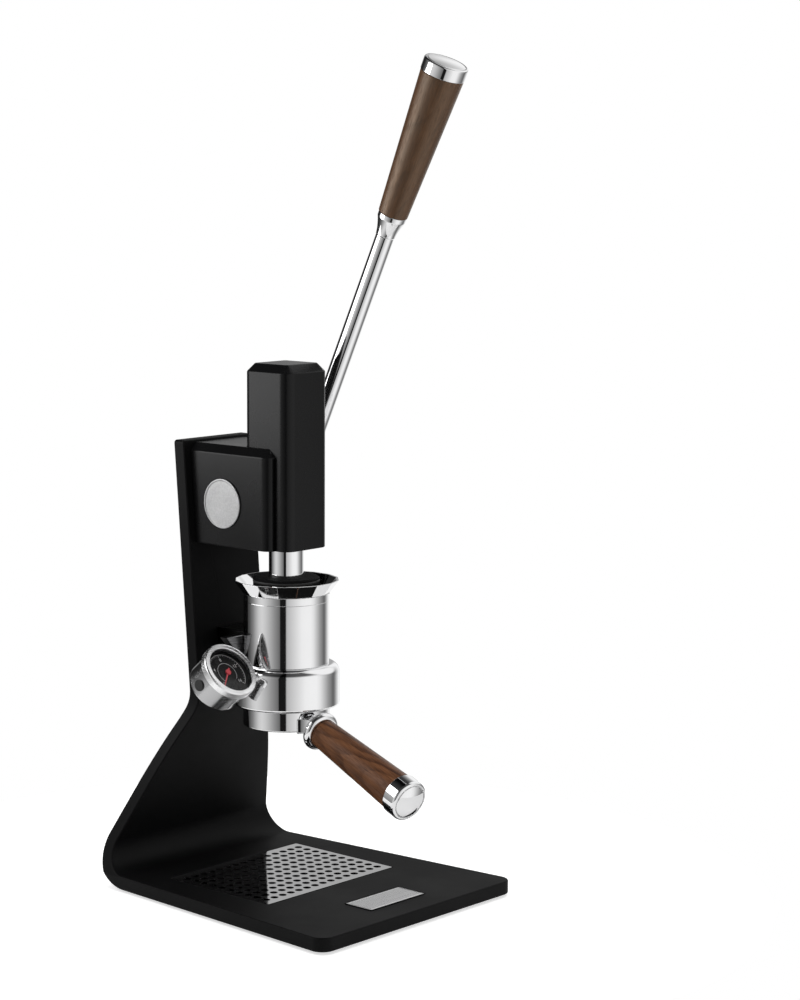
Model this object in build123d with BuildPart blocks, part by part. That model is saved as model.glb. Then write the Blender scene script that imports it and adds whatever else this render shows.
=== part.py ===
"""Manual lever espresso maker: a bent plate stand, a geared press head and a brew group.

Lengths are in millimetres. The brew axis is the Z axis and the table is Z = 0. The user stands at -Y,
the lever is on the +X side and the pressure gauge on the -X side.
"""
import os
from math import acos, cos, pi, radians, sin, sqrt, tan

from build123d import *

os.makedirs("parts", exist_ok=True)

# Clearances
RUN = 0.05  # radial, of a shaft, rod or piston that moves in its bore
FIT = 0.02  # radial, of a spigot, pin or bush that is fixed in its bore
GAP = 0.3  # beside pieces that move past each other and round loose pieces
FACE_GAP = 0.1  # between flat faces that slide on each other

# Bent plate: base, leaning flared back and upright
PAD_THICKNESS = 2.0
PAD_INSET = 9.0
PLATE = 12.0
BASE_FRONT = 156.0
BASE_FRONT_HALF = 123.0
BASE_BACK_HALF = 106.0
BASE_CORNER = 12.0
BEND_RADIUS = 26.0
KNEE_RADIUS = 40.0
KNEE_Y = 70.0
KNEE_RISE = 162.5
LOWER_LEAN = 22.8
UPPER_LEAN = 4.6
UPRIGHT_HALF = 42.5
UPRIGHT_LIP = 2.0
UPRIGHT_CORNER = 3.0
FLARE_RISE = 170.0
FLARE_SHOULDER = 0.17
FLARE_SHOULDER_DROP = 32.0

# Drip grate, drip tray and nameplate
GRATE_WIDTH = 158.0
GRATE_DEPTH = 116.8
GRATE_Y = 4.4
GRATE_SHEET = 1.5
GRATE_CORNER = 1.5
GRATE_COLUMNS = 15
GRATE_ROWS = 10
GRATE_PITCH_X = 10.1
GRATE_PITCH_Y = 10.6
GRATE_HOLE = 3.4
TRAY_HEIGHT = 8.0
TRAY_WALL = 1.0
NAMEPLATE_WIDTH = 69.0
NAMEPLATE_DEPTH = 29.8
NAMEPLATE_Y = -114.8
NAMEPLATE_SHEET = 1.0
NAMEPLATE_RECESS = 0.6

# Press head: block, tower, shaft and gear
POUR_GAP = 28.0
HEAD_HEIGHT = 87.0
HEAD_HALF = 35.0
HEAD_FRONT = 13.0
HEAD_CORNER = 10.0
HEAD_CHAMFER = 7.0
TOWER_SIDE = 53.0
TOWER_HEIGHT = 158.6
TOWER_CORNER = 10.0
TOWER_CHAMFER = 7.0
TOWER_BORE = 20.0
TOWER_ROOF = 7.0
PIVOT_Y = 42.0
PIVOT_LIFT = 37.0
MODULE = 2.0
TEETH = 31
PRESSURE_ANGLE = 20.0
BACKLASH = 0.3
GEAR_WIDTH = 14.0
GEAR_SIDE_GAP = 2.0
SHAFT_RADIUS = 8.0
BUSH_WALL = 3.0
KEY_WIDTH = 5.0
KEY_LENGTH = 8.0
WASHER_SHEET = 2.0
WASHER_RADIUS = 15.0
CLIP_RECESS = 5.0
CLIP_RECESS_RADIUS = 14.0
CLIP_SHEET = 1.2
CLIP_WIDTH = 3.0
CLIP_GROOVE = 1.0
BADGE_RADIUS = 21.5
BADGE_SHEET = 1.6
BADGE_RIM = 1.4
BADGE_FIELD = 0.5

# Long bolts that hold the block, the tower and the bracket to the upright
BOLT_RADIUS = 3.0
BOLT_HEAD_RADIUS = 5.0
BOLT_HEAD_HEIGHT = 6.0
BOLT_SOCKET = 2.9
BOLT_SOCKET_DEPTH = 3.0
BOLT_SEAT_DEPTH = 7.0
BOLT_GRIP = 15.0
HEAD_BOLT_X = 20.0
HEAD_BOLT_SPREAD = 28.0

# Lever
LEVER_X = 54.0
LEVER_LEAN = 24.9
LEVER_ROD_RADIUS = 8.0
LEVER_ROD_START = 10.0
HUB_RADIUS = 17.0
HUB_EDGE = 2.0
FERRULE_START = 253.0
FERRULE_LENGTH = 20.0
FERRULE_TOP_RADIUS = 12.25
GRIP_LENGTH = 127.0
GRIP_LOW_RADIUS = 12.75
GRIP_HIGH_RADIUS = 18.75
LEVER_CAP_RADIUS = 19.3
LEVER_CAP_LENGTH = 12.0
LEVER_CAP_EDGE = 1.5
LEVER_CAP_RECESS = 16.5
CAP_GROOVE = 0.6
LEVER_CAP_DOME = 0.9
HUB_SCREW_RADIUS = 4.0
HUB_SCREW_HEAD = 7.5
HUB_SCREW_HEAD_HEIGHT = 4.0
HUB_SCREW_GRIP = 14.0
HUB_WASHER_RADIUS = 12.0
HUB_WASHER_SHEET = 1.6

# Plunger
ROD_RADIUS = 15.0
ROD_TOP_GAP = 5.6
ROD_EDGE = 1.0
RACK_GAPS_BELOW = 3
RACK_GAPS_ABOVE = 13
GUIDE_LENGTH = 11.0
UPPER_GUIDE_LENGTH = 14.0
UPPER_GUIDE_LIFT = 31.0
PISTON_HEIGHT = 12.4
PISTON_LIFT = 1.0
PISTON_RELIEF = 0.4
SEAL_WIRE = 1.6
SEAL_SPACING = 6.0
PISTON_SCREW_RADIUS = 4.0
PISTON_SCREW_HEAD = 7.0
PISTON_SCREW_HEAD_HEIGHT = 4.0
PISTON_SCREW_GRIP = 16.0

# Brew group: collar, chamber, funnel and bracket
COLLAR_RADIUS = 46.0
COLLAR_RISE = 164.0
COLLAR_HEIGHT = 36.5
COLLAR_SHOULDER = 8.0
COLLAR_EDGE = 2.5
LEDGE_HEIGHT = 6.0
GROOVE_HEIGHT = 9.0
GASKET_HEIGHT = 9.0
GASKET_INNER = 31.0
WEB_HEIGHT = 6.0
BORE_RADIUS = 29.0
CHAMBER_RADIUS = 37.0
CHAMBER_HEIGHT = 54.5
SPIGOT_RADIUS = 34.0
SPIGOT_TOP_RADIUS = 33.0
SPIGOT_TOP = 7.0
CHAMBER_SEAL = 1.5
SCREEN_SHEET = 1.2
SCREEN_HOLE = 0.9
SCREEN_RINGS = 6
SCREEN_RING_STEP = 4.4
FUNNEL_SIDES = 16
FUNNEL_RING = 6.6
FUNNEL_HEIGHT = 18.0
FUNNEL_RIM_RADIUS = 46.0
FUNNEL_FOOT_RADIUS = 37.6
FUNNEL_WALL = 1.8
BRACKET_HALF = 47.0
BRACKET_HEIGHT = 18.0
BRACKET_FRONT = 26.0
BRACKET_PLATE = 8.0
BRACKET_EDGE = 0.8
BRACKET_CUT = 15.0
BRACKET_ARM_HALF = 16.0
BRACKET_LIFT = 6.0
BRACKET_BOLT_X = 10.0
BRACKET_BOLT_DEPTH = 6.0

# Portafilter, basket and handle
PORTAFILTER_RADIUS = 37.5
PORTAFILTER_DROP = 18.0
PORTAFILTER_GAP = 0.6
PORTAFILTER_EDGE = 1.2
NECK_RADIUS = 34.7
LUG_RADIUS = 38.2
LUG_HEIGHT = 6.4
LUG_SPAN = 40.0
LUG_ENTRY_SPAN = 46.0
LOCK_TURN = 45.0
BASKET_RADIUS = 30.1
BASKET_WALL = 0.7
BASKET_RIM = 34.2
BASKET_RIM_SHEET = 1.2
BASKET_DEPTH = 26.0
BASKET_HOLE = 0.8
BASKET_RINGS = 6
BASKET_RING_STEP = 4.2
SPRING_WIRE = 0.6
SPRING_SPAN = 320.0
SPRING_DROP = 6.0
BODY_WALL_GAP = 0.5
HANDLE_YAW = 8.4
HANDLE_DROOP = 18.45
HANDLE_LIFT = 17.0
HANDLE_NECK_HALF = 9.0
HANDLE_NECK_SPREAD = 20.0
HANDLE_NECK_FLARE = 20.0
HANDLE_NECK_LAND = 1.0
HANDLE_FERRULE_START = 45.5
HANDLE_FERRULE_LENGTH = 8.5
HANDLE_FERRULE_RADIUS = 17.2
HANDLE_FERRULE_EDGE = 4.1
HANDLE_GRIP_LENGTH = 105.0
HANDLE_GRIP_LOW = 12.8
HANDLE_GRIP_HIGH = 16.7
HANDLE_CAP_LENGTH = 17.5
HANDLE_CAP_RADIUS = 17.8
HANDLE_CAP_EDGE = 2.6
HANDLE_CAP_RECESS = 14.2
HANDLE_CAP_DOME = 3.5
STUD_RADIUS = 3.0

# Pressure gauge
GAUGE_X = -71.0
GAUGE_Y = -2.0
GAUGE_LIFT = 39.6
GAUGE_TILT = 40.6
GAUGE_RADIUS = 23.5
GAUGE_DEPTH = 28.0
GAUGE_WALL = 2.0
GAUGE_BACK = 2.5
GAUGE_PORT_DEPTH = 17.5
DIAL_RADIUS = 21.2
DIAL_SHEET = 0.8
DIAL_DEPTH = 5.0
DIAL_LEDGE = 2.0
LENS_SHEET = 1.5
LENS_RADIUS = 23.0
BEZEL_RADIUS = 25.8
BEZEL_LIP = 21.0
BEZEL_LIP_SHEET = 1.6
BEZEL_SKIRT = 5.5
BEZEL_EDGE = 1.0
NEEDLE_LENGTH = 17.0
NEEDLE_TAIL = 5.0
NEEDLE_HALF = 0.7
NEEDLE_SHEET = 0.6
NEEDLE_HUB = 2.6
NEEDLE_LIFT = 0.8
NEEDLE_REST = 225.0
ARBOR_RADIUS = 0.8
MOVEMENT_RADIUS = 9.0
NIPPLE_RADIUS = 4.0
NIPPLE_BORE = 1.5
NIPPLE_GRIP = 6.0
NIPPLE_FLANGE = 6.0
NIPPLE_FLANGE_SHEET = 1.8
PLUG_RADIUS = 5.0
PLUG_LENGTH = 5.0
PLUG_PROUD = 1.2

# Levels above the table
base_bottom = PAD_THICKNESS
base_mid = base_bottom + PLATE / 2
base_top = base_bottom + PLATE
knee_z = base_bottom + KNEE_RISE
collar_bottom = base_bottom + COLLAR_RISE
collar_top = collar_bottom + COLLAR_HEIGHT
groove_bottom = collar_bottom + LEDGE_HEIGHT
gasket_bottom = groove_bottom + GROOVE_HEIGHT
web_bottom = gasket_bottom + GASKET_HEIGHT
web_top = web_bottom + WEB_HEIGHT
chamber_top = collar_top + CHAMBER_HEIGHT
spigot_top = chamber_top + SPIGOT_TOP
funnel_rim = chamber_top + FUNNEL_HEIGHT
head_bottom = funnel_rim + POUR_GAP
head_top = head_bottom + HEAD_HEIGHT
tower_top = head_bottom + TOWER_HEIGHT
upright_top = head_top + UPRIGHT_LIP
pivot_z = head_bottom + PIVOT_LIFT
piston_bottom = spigot_top + PISTON_LIFT
rod_bottom = piston_bottom + PISTON_HEIGHT
rod_top = tower_top - TOWER_ROOF - ROD_TOP_GAP
bracket_bottom = collar_top + BRACKET_LIFT
bracket_top = bracket_bottom + BRACKET_HEIGHT
portafilter_bottom = collar_bottom - PORTAFILTER_DROP
portafilter_shoulder = collar_bottom - PORTAFILTER_GAP
basket_rim_top = gasket_bottom - 2 * GAP
portafilter_top = basket_rim_top - BASKET_RIM_SHEET
handle_z = portafilter_bottom + HANDLE_LIFT
gauge_z = collar_bottom + GAUGE_LIFT

# Bends of the plate, along its middle
heel_y = KNEE_Y + (knee_z - base_mid) * tan(radians(LOWER_LEAN))
bend_start = heel_y - BEND_RADIUS * tan(radians((90 + LOWER_LEAN) / 2))
sheet_top = upright_top + PLATE
top_y = KNEE_Y + (sheet_top - knee_z) * tan(radians(UPPER_LEAN))
plate_half_run = PLATE / 2 / cos(radians(UPPER_LEAN))

# Gear and rack
pitch_radius = MODULE * TEETH / 2
tip_radius = pitch_radius + MODULE
root_radius = pitch_radius - 1.25 * MODULE
base_radius = pitch_radius * cos(radians(PRESSURE_ANGLE))
tooth_pitch = pi * MODULE
rack_line = PIVOT_Y - pitch_radius
rack_tip = rack_line + MODULE
gear_room = tip_radius + 3 * GAP
slot_half = GEAR_WIDTH / 2 + GEAR_SIDE_GAP
bush_radius = SHAFT_RADIUS + BUSH_WALL
hub_start = HEAD_HALF + WASHER_SHEET + 2 * FACE_GAP
hub_end = 2 * LEVER_X - hub_start
shaft_left = -HEAD_HALF + CLIP_RECESS - CLIP_SHEET - CLIP_GROOVE - FACE_GAP
shaft_right = hub_end - 1.0
key_seat = SHAFT_RADIUS - KEY_WIDTH / 2
gear_key_x = 0.0
hub_key_x = (hub_start + LEVER_X - LEVER_ROD_RADIUS) / 2

# Directions of the lever, the handle and the gauge
lever_up = Vector(0, -sin(radians(LEVER_LEAN)), cos(radians(LEVER_LEAN)))
lever_foot = Vector(LEVER_X, PIVOT_Y, pivot_z)
lever_side = Plane(origin=lever_foot, x_dir=(1, 0, 0), z_dir=Vector(1, 0, 0).cross(lever_up))
lever_axis = Axis(lever_foot, lever_up)
grip_start = FERRULE_START + FERRULE_LENGTH
grip_end = grip_start + GRIP_LENGTH
lever_end = grip_end + LEVER_CAP_LENGTH
lever_rod_end = (grip_end + lever_end) / 2

handle_across = Vector(cos(radians(HANDLE_YAW)), -sin(radians(HANDLE_YAW)), 0)
handle_level = Vector(-sin(radians(HANDLE_YAW)), -cos(radians(HANDLE_YAW)), 0)
handle_out = handle_level * cos(radians(HANDLE_DROOP)) + Vector(0, 0, -sin(radians(HANDLE_DROOP)))
handle_foot = Vector(0, 0, handle_z)
handle_side = Plane(origin=handle_foot, x_dir=handle_across, z_dir=handle_across.cross(handle_out))
handle_axis = Axis(handle_foot, handle_out)
handle_grip_start = HANDLE_FERRULE_START + HANDLE_FERRULE_LENGTH
handle_grip_end = handle_grip_start + HANDLE_GRIP_LENGTH
handle_end = handle_grip_end + HANDLE_CAP_LENGTH
lug_angle = -HANDLE_YAW

gauge_out = Vector(0, -cos(radians(GAUGE_TILT)), sin(radians(GAUGE_TILT)))
gauge_face = Plane(origin=(GAUGE_X, GAUGE_Y, gauge_z), x_dir=(1, 0, 0), z_dir=gauge_out)
gauge_axis = Axis(gauge_face.origin, gauge_out)
gauge_port = gauge_face.origin - gauge_out * GAUGE_PORT_DEPTH
port_reach = sqrt(COLLAR_RADIUS**2 - gauge_port.Y**2)
housing_right = GAUGE_X + GAUGE_RADIUS
housing_left = GAUGE_X - GAUGE_RADIUS
housing_front = -LENS_SHEET - FACE_GAP
movement_front = -DIAL_DEPTH - DIAL_SHEET
movement_back = -GAUGE_DEPTH + GAUGE_BACK
nipple_end = GAUGE_X + MOVEMENT_RADIUS - NIPPLE_BORE


def upright_front(z):
    """Y of the upright's front face at height z."""
    return KNEE_Y + (z - knee_z) * tan(radians(UPPER_LEAN)) - plate_half_run


def upright_back(z):
    """Y of the upright's back face at height z."""
    return upright_front(z) + 2 * plate_half_run


def bolt_seat(z):
    """Y of the flat seat, sunk in the upright's back face, of a bolt at height z."""
    return upright_back(z) - BOLT_SEAT_DEPTH


def base_half(y):
    """Half the width of the base at a given Y: it widens from the bend to the front edge."""
    share = (bend_start - y) / (bend_start + BASE_FRONT)
    return BASE_BACK_HALF + (BASE_FRONT_HALF - BASE_BACK_HALF) * share


def involute(angle):
    """Involute function of an angle in radians."""
    return tan(angle) - angle


def tooth_half_angle(radius):
    """Half the angle that a gear tooth takes up at a radius, for involute flanks."""
    at_radius = acos(min(1.0, base_radius / radius))
    return pi / (2 * TEETH) + involute(radians(PRESSURE_ANGLE)) - involute(at_radius)


def tooth_points():
    """Outline of one gear tooth that points along +x."""
    radii = [root_radius - MODULE / 2, base_radius, (base_radius + pitch_radius) / 2]
    radii += [pitch_radius, (pitch_radius + tip_radius) / 2, tip_radius]
    flank = [(r, tooth_half_angle(r)) for r in radii]
    right = [(r * cos(a), -r * sin(a)) for r, a in flank]
    left = [(r * cos(a), r * sin(a)) for r, a in reversed(flank)]
    return right + left


def wedge(radius, span):
    """Triangle from the centre that covers a span of degrees, symmetric about +x, past a radius."""
    reach = 1.4 * radius
    half = radians(span / 2)
    return [(0, 0), (reach * cos(half), -reach * sin(half)), (reach * cos(half), reach * sin(half))]


def ring_spots(rings, step):
    """Centres of the holes on concentric rings, six more on each ring than on the one inside it."""
    spots = [(0, 0)]
    for ring in range(1, rings + 1):
        for hole in range(6 * ring):
            turn = 2 * pi * hole / (6 * ring)
            spots.append((ring * step * cos(turn), ring * step * sin(turn)))
    return spots


def dome_radius(reach, rise):
    """Radius of the sphere that domes a disc of a given radius by a given rise."""
    return (reach**2 + rise**2) / (2 * rise)


def save(piece, name):
    """Label a finished piece and write its file."""
    piece.part.label = name
    export_step(piece.part, f"parts/{name}.step")


head_bolt_levels = [head_bottom + HEAD_HEIGHT / 2 + side * HEAD_BOLT_SPREAD for side in (-1, 1)]
head_bolt_end = TOWER_SIDE / 2 - BOLT_GRIP
bracket_bolt_z = (bracket_bottom + bracket_top) / 2
bracket_bolt_end = sqrt(CHAMBER_RADIUS**2 - BRACKET_BOLT_X**2) - BRACKET_BOLT_DEPTH
back_clear = upright_back(upright_top) + PLATE

# Stand: bent plate
with BuildPart() as frame_plate:
    with BuildSketch(Plane.YZ):
        with BuildLine():
            FilletPolyline(
                (-BASE_FRONT, base_mid),
                (heel_y, base_mid),
                (KNEE_Y, knee_z),
                (top_y, sheet_top),
                radius=(BEND_RADIUS, KNEE_RADIUS),
            )
        trace(line_width=PLATE)
    extrude(amount=BASE_FRONT_HALF, both=True)
    flare_top = base_bottom + FLARE_RISE
    shoulder_x = UPRIGHT_HALF + FLARE_SHOULDER * (BASE_BACK_HALF - UPRIGHT_HALF)
    shoulder_z = flare_top - FLARE_SHOULDER_DROP
    flare_run = (BASE_BACK_HALF - shoulder_x, base_top - shoulder_z)
    outline_half = BASE_FRONT_HALF + PLATE
    with BuildSketch(Plane.XZ):
        with BuildLine():
            FilletPolyline(
                (0, upright_top),
                (UPRIGHT_HALF, upright_top),
                (UPRIGHT_HALF, flare_top),
                radius=UPRIGHT_CORNER,
            )
            Spline(
                (UPRIGHT_HALF, flare_top),
                (shoulder_x, shoulder_z),
                (BASE_BACK_HALF, base_top),
                tangents=((0, -1), flare_run),
            )
            Polyline((BASE_BACK_HALF, base_top), (outline_half, base_top), (outline_half, 0), (0, 0))
            mirror(about=Plane.YZ)
        make_face()
    extrude(amount=heel_y + BASE_FRONT, both=True, mode=Mode.INTERSECT)
    with BuildSketch(Plane.XY):
        Polygon(
            (-BASE_FRONT_HALF, -BASE_FRONT),
            (BASE_FRONT_HALF, -BASE_FRONT),
            (BASE_BACK_HALF, bend_start),
            (BASE_BACK_HALF, heel_y),
            (-BASE_BACK_HALF, heel_y),
            (-BASE_BACK_HALF, bend_start),
        )
        fillet(vertices().group_by(Axis.Y)[0], radius=BASE_CORNER)
    extrude(amount=sheet_top, mode=Mode.INTERSECT)
    with BuildSketch(Plane.XY.offset(base_top)):
        with Locations((0, GRATE_Y)):
            RectangleRounded(GRATE_WIDTH + 2 * GAP, GRATE_DEPTH + 2 * GAP, GRATE_CORNER + GAP)
    extrude(amount=-(TRAY_HEIGHT + GRATE_SHEET), mode=Mode.SUBTRACT)
    with BuildSketch(Plane.XY.offset(base_top)):
        with Locations((0, NAMEPLATE_Y)):
            Rectangle(NAMEPLATE_WIDTH + 2 * FIT, NAMEPLATE_DEPTH + 2 * FIT)
    extrude(amount=-NAMEPLATE_RECESS, mode=Mode.SUBTRACT)
    for level in head_bolt_levels:
        with BuildSketch(Plane.XZ.offset(-back_clear)):
            with Locations((-HEAD_BOLT_X, level), (HEAD_BOLT_X, level)):
                Circle(BOLT_RADIUS + FIT)
        extrude(amount=back_clear - upright_front(head_bottom) + PLATE, mode=Mode.SUBTRACT)
        with BuildSketch(Plane.XZ.offset(-bolt_seat(level))):
            with Locations((-HEAD_BOLT_X, level), (HEAD_BOLT_X, level)):
                Circle(BOLT_HEAD_RADIUS + GAP)
        extrude(amount=-PLATE, mode=Mode.SUBTRACT)
    with BuildSketch(Plane.XZ.offset(-back_clear)):
        with Locations((-BRACKET_BOLT_X, bracket_bolt_z), (BRACKET_BOLT_X, bracket_bolt_z)):
            Circle(BOLT_RADIUS + FIT)
    extrude(amount=back_clear - upright_front(bracket_bottom) + PLATE, mode=Mode.SUBTRACT)
    with BuildSketch(Plane.XZ.offset(-bolt_seat(bracket_bolt_z))):
        with Locations((-BRACKET_BOLT_X, bracket_bolt_z), (BRACKET_BOLT_X, bracket_bolt_z)):
            Circle(BOLT_HEAD_RADIUS + GAP)
    extrude(amount=-PLATE, mode=Mode.SUBTRACT)
save(frame_plate, "frame_plate")

with BuildPart() as anti_slip_pad:
    with BuildSketch(Plane.XY):
        pad_front = -BASE_FRONT + PAD_INSET
        pad_back = bend_start - PAD_INSET
        Polygon(
            (-base_half(pad_front) + PAD_INSET, pad_front),
            (base_half(pad_front) - PAD_INSET, pad_front),
            (base_half(pad_back) - PAD_INSET, pad_back),
            (-base_half(pad_back) + PAD_INSET, pad_back),
        )
        fillet(vertices(), radius=BASE_CORNER - PAD_INSET / 2)
    extrude(amount=PAD_THICKNESS)
save(anti_slip_pad, "anti_slip_pad")

tray_floor = base_top - GRATE_SHEET - TRAY_HEIGHT
with BuildPart() as drip_tray:
    with BuildSketch(Plane.XY.offset(tray_floor)):
        with Locations((0, GRATE_Y)):
            RectangleRounded(GRATE_WIDTH, GRATE_DEPTH, GRATE_CORNER)
    extrude(amount=TRAY_HEIGHT)
    with BuildSketch(Plane.XY.offset(tray_floor + TRAY_WALL)):
        with Locations((0, GRATE_Y)):
            Rectangle(GRATE_WIDTH - 2 * TRAY_WALL, GRATE_DEPTH - 2 * TRAY_WALL)
    extrude(amount=TRAY_HEIGHT, mode=Mode.SUBTRACT)
save(drip_tray, "drip_tray")

with BuildPart() as drip_grate:
    with BuildSketch(Plane.XY.offset(base_top - GRATE_SHEET)):
        with Locations((0, GRATE_Y)):
            RectangleRounded(GRATE_WIDTH, GRATE_DEPTH, GRATE_CORNER)
            with GridLocations(GRATE_PITCH_X, GRATE_PITCH_Y, GRATE_COLUMNS, GRATE_ROWS):
                Circle(GRATE_HOLE, mode=Mode.SUBTRACT)
    extrude(amount=GRATE_SHEET)
save(drip_grate, "drip_grate")

with BuildPart() as nameplate:
    with BuildSketch(Plane.XY.offset(base_top - NAMEPLATE_RECESS)):
        with Locations((0, NAMEPLATE_Y)):
            Rectangle(NAMEPLATE_WIDTH, NAMEPLATE_DEPTH)
    extrude(amount=NAMEPLATE_SHEET)
    chamfer(faces().sort_by(Axis.Z)[-1].edges(), length=(NAMEPLATE_SHEET - NAMEPLATE_RECESS) / 2)
save(nameplate, "nameplate")

# Press head
with BuildPart() as head_block:
    with BuildSketch(Plane.YZ):
        Polygon(
            (-HEAD_FRONT, head_bottom),
            (upright_front(head_bottom), head_bottom),
            (upright_front(head_top), head_top),
            (-HEAD_FRONT, head_top),
        )
    extrude(amount=HEAD_HALF, both=True)
    fillet(edges().filter_by(Axis.Z), radius=HEAD_CORNER)
    chamfer(faces().sort_by(Axis.Z)[-1].edges().sort_by(Axis.Y)[:-1], length=HEAD_CHAMFER)
    with BuildSketch(Plane.XY.offset(head_bottom)):
        RectangleRounded(TOWER_SIDE + 2 * FIT, TOWER_SIDE + 2 * FIT, TOWER_CORNER)
    extrude(amount=HEAD_HEIGHT, mode=Mode.SUBTRACT)
    with BuildSketch(Plane.YZ):
        with Locations((PIVOT_Y, pivot_z)):
            Circle(gear_room)
    extrude(amount=slot_half, both=True, mode=Mode.SUBTRACT)
    with BuildSketch(Plane.YZ):
        with Locations((PIVOT_Y, pivot_z)):
            Circle(bush_radius + FIT)
    extrude(amount=HEAD_HALF, both=True, mode=Mode.SUBTRACT)
    with BuildSketch(Plane.YZ.offset(-HEAD_HALF)):
        with Locations((PIVOT_Y, pivot_z)):
            Circle(CLIP_RECESS_RADIUS)
    extrude(amount=CLIP_RECESS, mode=Mode.SUBTRACT)
    for level in head_bolt_levels:
        with BuildSketch(Plane.XZ.offset(-back_clear)):
            with Locations((-HEAD_BOLT_X, level), (HEAD_BOLT_X, level)):
                Circle(BOLT_RADIUS + FIT)
        extrude(amount=back_clear - TOWER_SIDE / 4, mode=Mode.SUBTRACT)
save(head_block, "head_block")

with BuildPart() as tower_housing:
    with BuildSketch(Plane.XY.offset(head_bottom)):
        RectangleRounded(TOWER_SIDE, TOWER_SIDE, TOWER_CORNER)
    extrude(amount=TOWER_HEIGHT)
    chamfer(faces().sort_by(Axis.Z)[-1].edges(), length=TOWER_CHAMFER)
    with BuildSketch(Plane.XY.offset(head_bottom)):
        Circle(TOWER_BORE)
    extrude(amount=TOWER_HEIGHT - TOWER_ROOF, mode=Mode.SUBTRACT)
    with BuildSketch(Plane.YZ):
        with Locations((PIVOT_Y, pivot_z)):
            Circle(gear_room)
    extrude(amount=slot_half, both=True, mode=Mode.SUBTRACT)
    for level in head_bolt_levels:
        with BuildSketch(Plane.XZ.offset(-TOWER_SIDE / 2)):
            with Locations((-HEAD_BOLT_X, level), (HEAD_BOLT_X, level)):
                Circle(BOLT_RADIUS + FIT)
        extrude(amount=BOLT_GRIP, mode=Mode.SUBTRACT)
save(tower_housing, "tower_housing")

with BuildPart() as lower_guide_bush:
    with BuildSketch(Plane.XY.offset(head_bottom)):
        Circle(TOWER_BORE - FIT)
        Circle(ROD_RADIUS + RUN, mode=Mode.SUBTRACT)
    extrude(amount=GUIDE_LENGTH)
save(lower_guide_bush, "lower_guide_bush")

with BuildPart() as upper_guide_bush:
    with BuildSketch(Plane.XY.offset(pivot_z + UPPER_GUIDE_LIFT)):
        Circle(TOWER_BORE - FIT)
        Circle(ROD_RADIUS + RUN, mode=Mode.SUBTRACT)
    extrude(amount=UPPER_GUIDE_LENGTH)
save(upper_guide_bush, "upper_guide_bush")

bush_spans = [(-HEAD_HALF + CLIP_RECESS, -slot_half), (slot_half, HEAD_HALF)]
with BuildPart() as shaft_bushes:
    for start, end in bush_spans:
        with BuildSketch(Plane.YZ.offset(start)):
            with Locations((PIVOT_Y, pivot_z)):
                Circle(bush_radius)
                Circle(SHAFT_RADIUS + RUN, mode=Mode.SUBTRACT)
        extrude(amount=end - start)
save(shaft_bushes, "shaft_bushes")

with BuildPart() as head_bolts:
    for level in head_bolt_levels:
        for side in (-HEAD_BOLT_X, HEAD_BOLT_X):
            with BuildSketch(Plane.XZ.offset(-bolt_seat(level))):
                with Locations((side, level)):
                    Circle(BOLT_RADIUS)
            extrude(amount=bolt_seat(level) - head_bolt_end - FACE_GAP)
            with BuildSketch(Plane.XZ.offset(-bolt_seat(level))):
                with Locations((side, level)):
                    Circle(BOLT_HEAD_RADIUS)
            extrude(amount=-BOLT_HEAD_HEIGHT)
            with BuildSketch(Plane.XZ.offset(-bolt_seat(level) - BOLT_HEAD_HEIGHT)):
                with Locations((side, level)):
                    RegularPolygon(BOLT_SOCKET, 6)
            extrude(amount=BOLT_SOCKET_DEPTH, mode=Mode.SUBTRACT)
save(head_bolts, "head_bolts")

with BuildPart() as pivot_badge:
    with BuildSketch(Plane.YZ.offset(-HEAD_HALF)):
        with Locations((PIVOT_Y, pivot_z)):
            Circle(BADGE_RADIUS)
    extrude(amount=-BADGE_SHEET)
    with BuildSketch(Plane.YZ.offset(-HEAD_HALF - BADGE_SHEET)):
        with Locations((PIVOT_Y, pivot_z)):
            Circle(BADGE_RADIUS - BADGE_RIM)
    extrude(amount=BADGE_FIELD, mode=Mode.SUBTRACT)
    fillet(edges().group_by(Axis.X)[0], radius=BADGE_FIELD / 2)
save(pivot_badge, "pivot_badge")

with BuildPart() as thrust_washer:
    with BuildSketch(Plane.YZ.offset(HEAD_HALF)):
        with Locations((PIVOT_Y, pivot_z)):
            Circle(WASHER_RADIUS)
            Circle(SHAFT_RADIUS + RUN, mode=Mode.SUBTRACT)
    extrude(amount=WASHER_SHEET)
save(thrust_washer, "thrust_washer")

# Lever train: shaft, gear, keys, hub and lever
with BuildPart() as lever_shaft:
    with BuildSketch(Plane.YZ.offset(shaft_left)):
        with Locations((PIVOT_Y, pivot_z)):
            Circle(SHAFT_RADIUS)
    extrude(amount=shaft_right - shaft_left)
    with BuildSketch(Plane.YZ.offset(shaft_left + CLIP_GROOVE)):
        with Locations((PIVOT_Y, pivot_z)):
            Circle(SHAFT_RADIUS)
            Circle(SHAFT_RADIUS - CLIP_GROOVE, mode=Mode.SUBTRACT)
    extrude(amount=CLIP_SHEET, mode=Mode.SUBTRACT)
    with BuildSketch(Plane.XY.offset(pivot_z + key_seat)):
        with Locations((gear_key_x, PIVOT_Y), (hub_key_x, PIVOT_Y)):
            Rectangle(KEY_LENGTH + 2 * FIT, KEY_WIDTH + 2 * FIT)
    extrude(amount=KEY_WIDTH, mode=Mode.SUBTRACT)
    with BuildSketch(Plane.YZ.offset(shaft_right)):
        with Locations((PIVOT_Y, pivot_z)):
            Circle(HUB_SCREW_RADIUS + FIT)
    extrude(amount=-HUB_SCREW_GRIP, mode=Mode.SUBTRACT)
save(lever_shaft, "lever_shaft")

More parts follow.
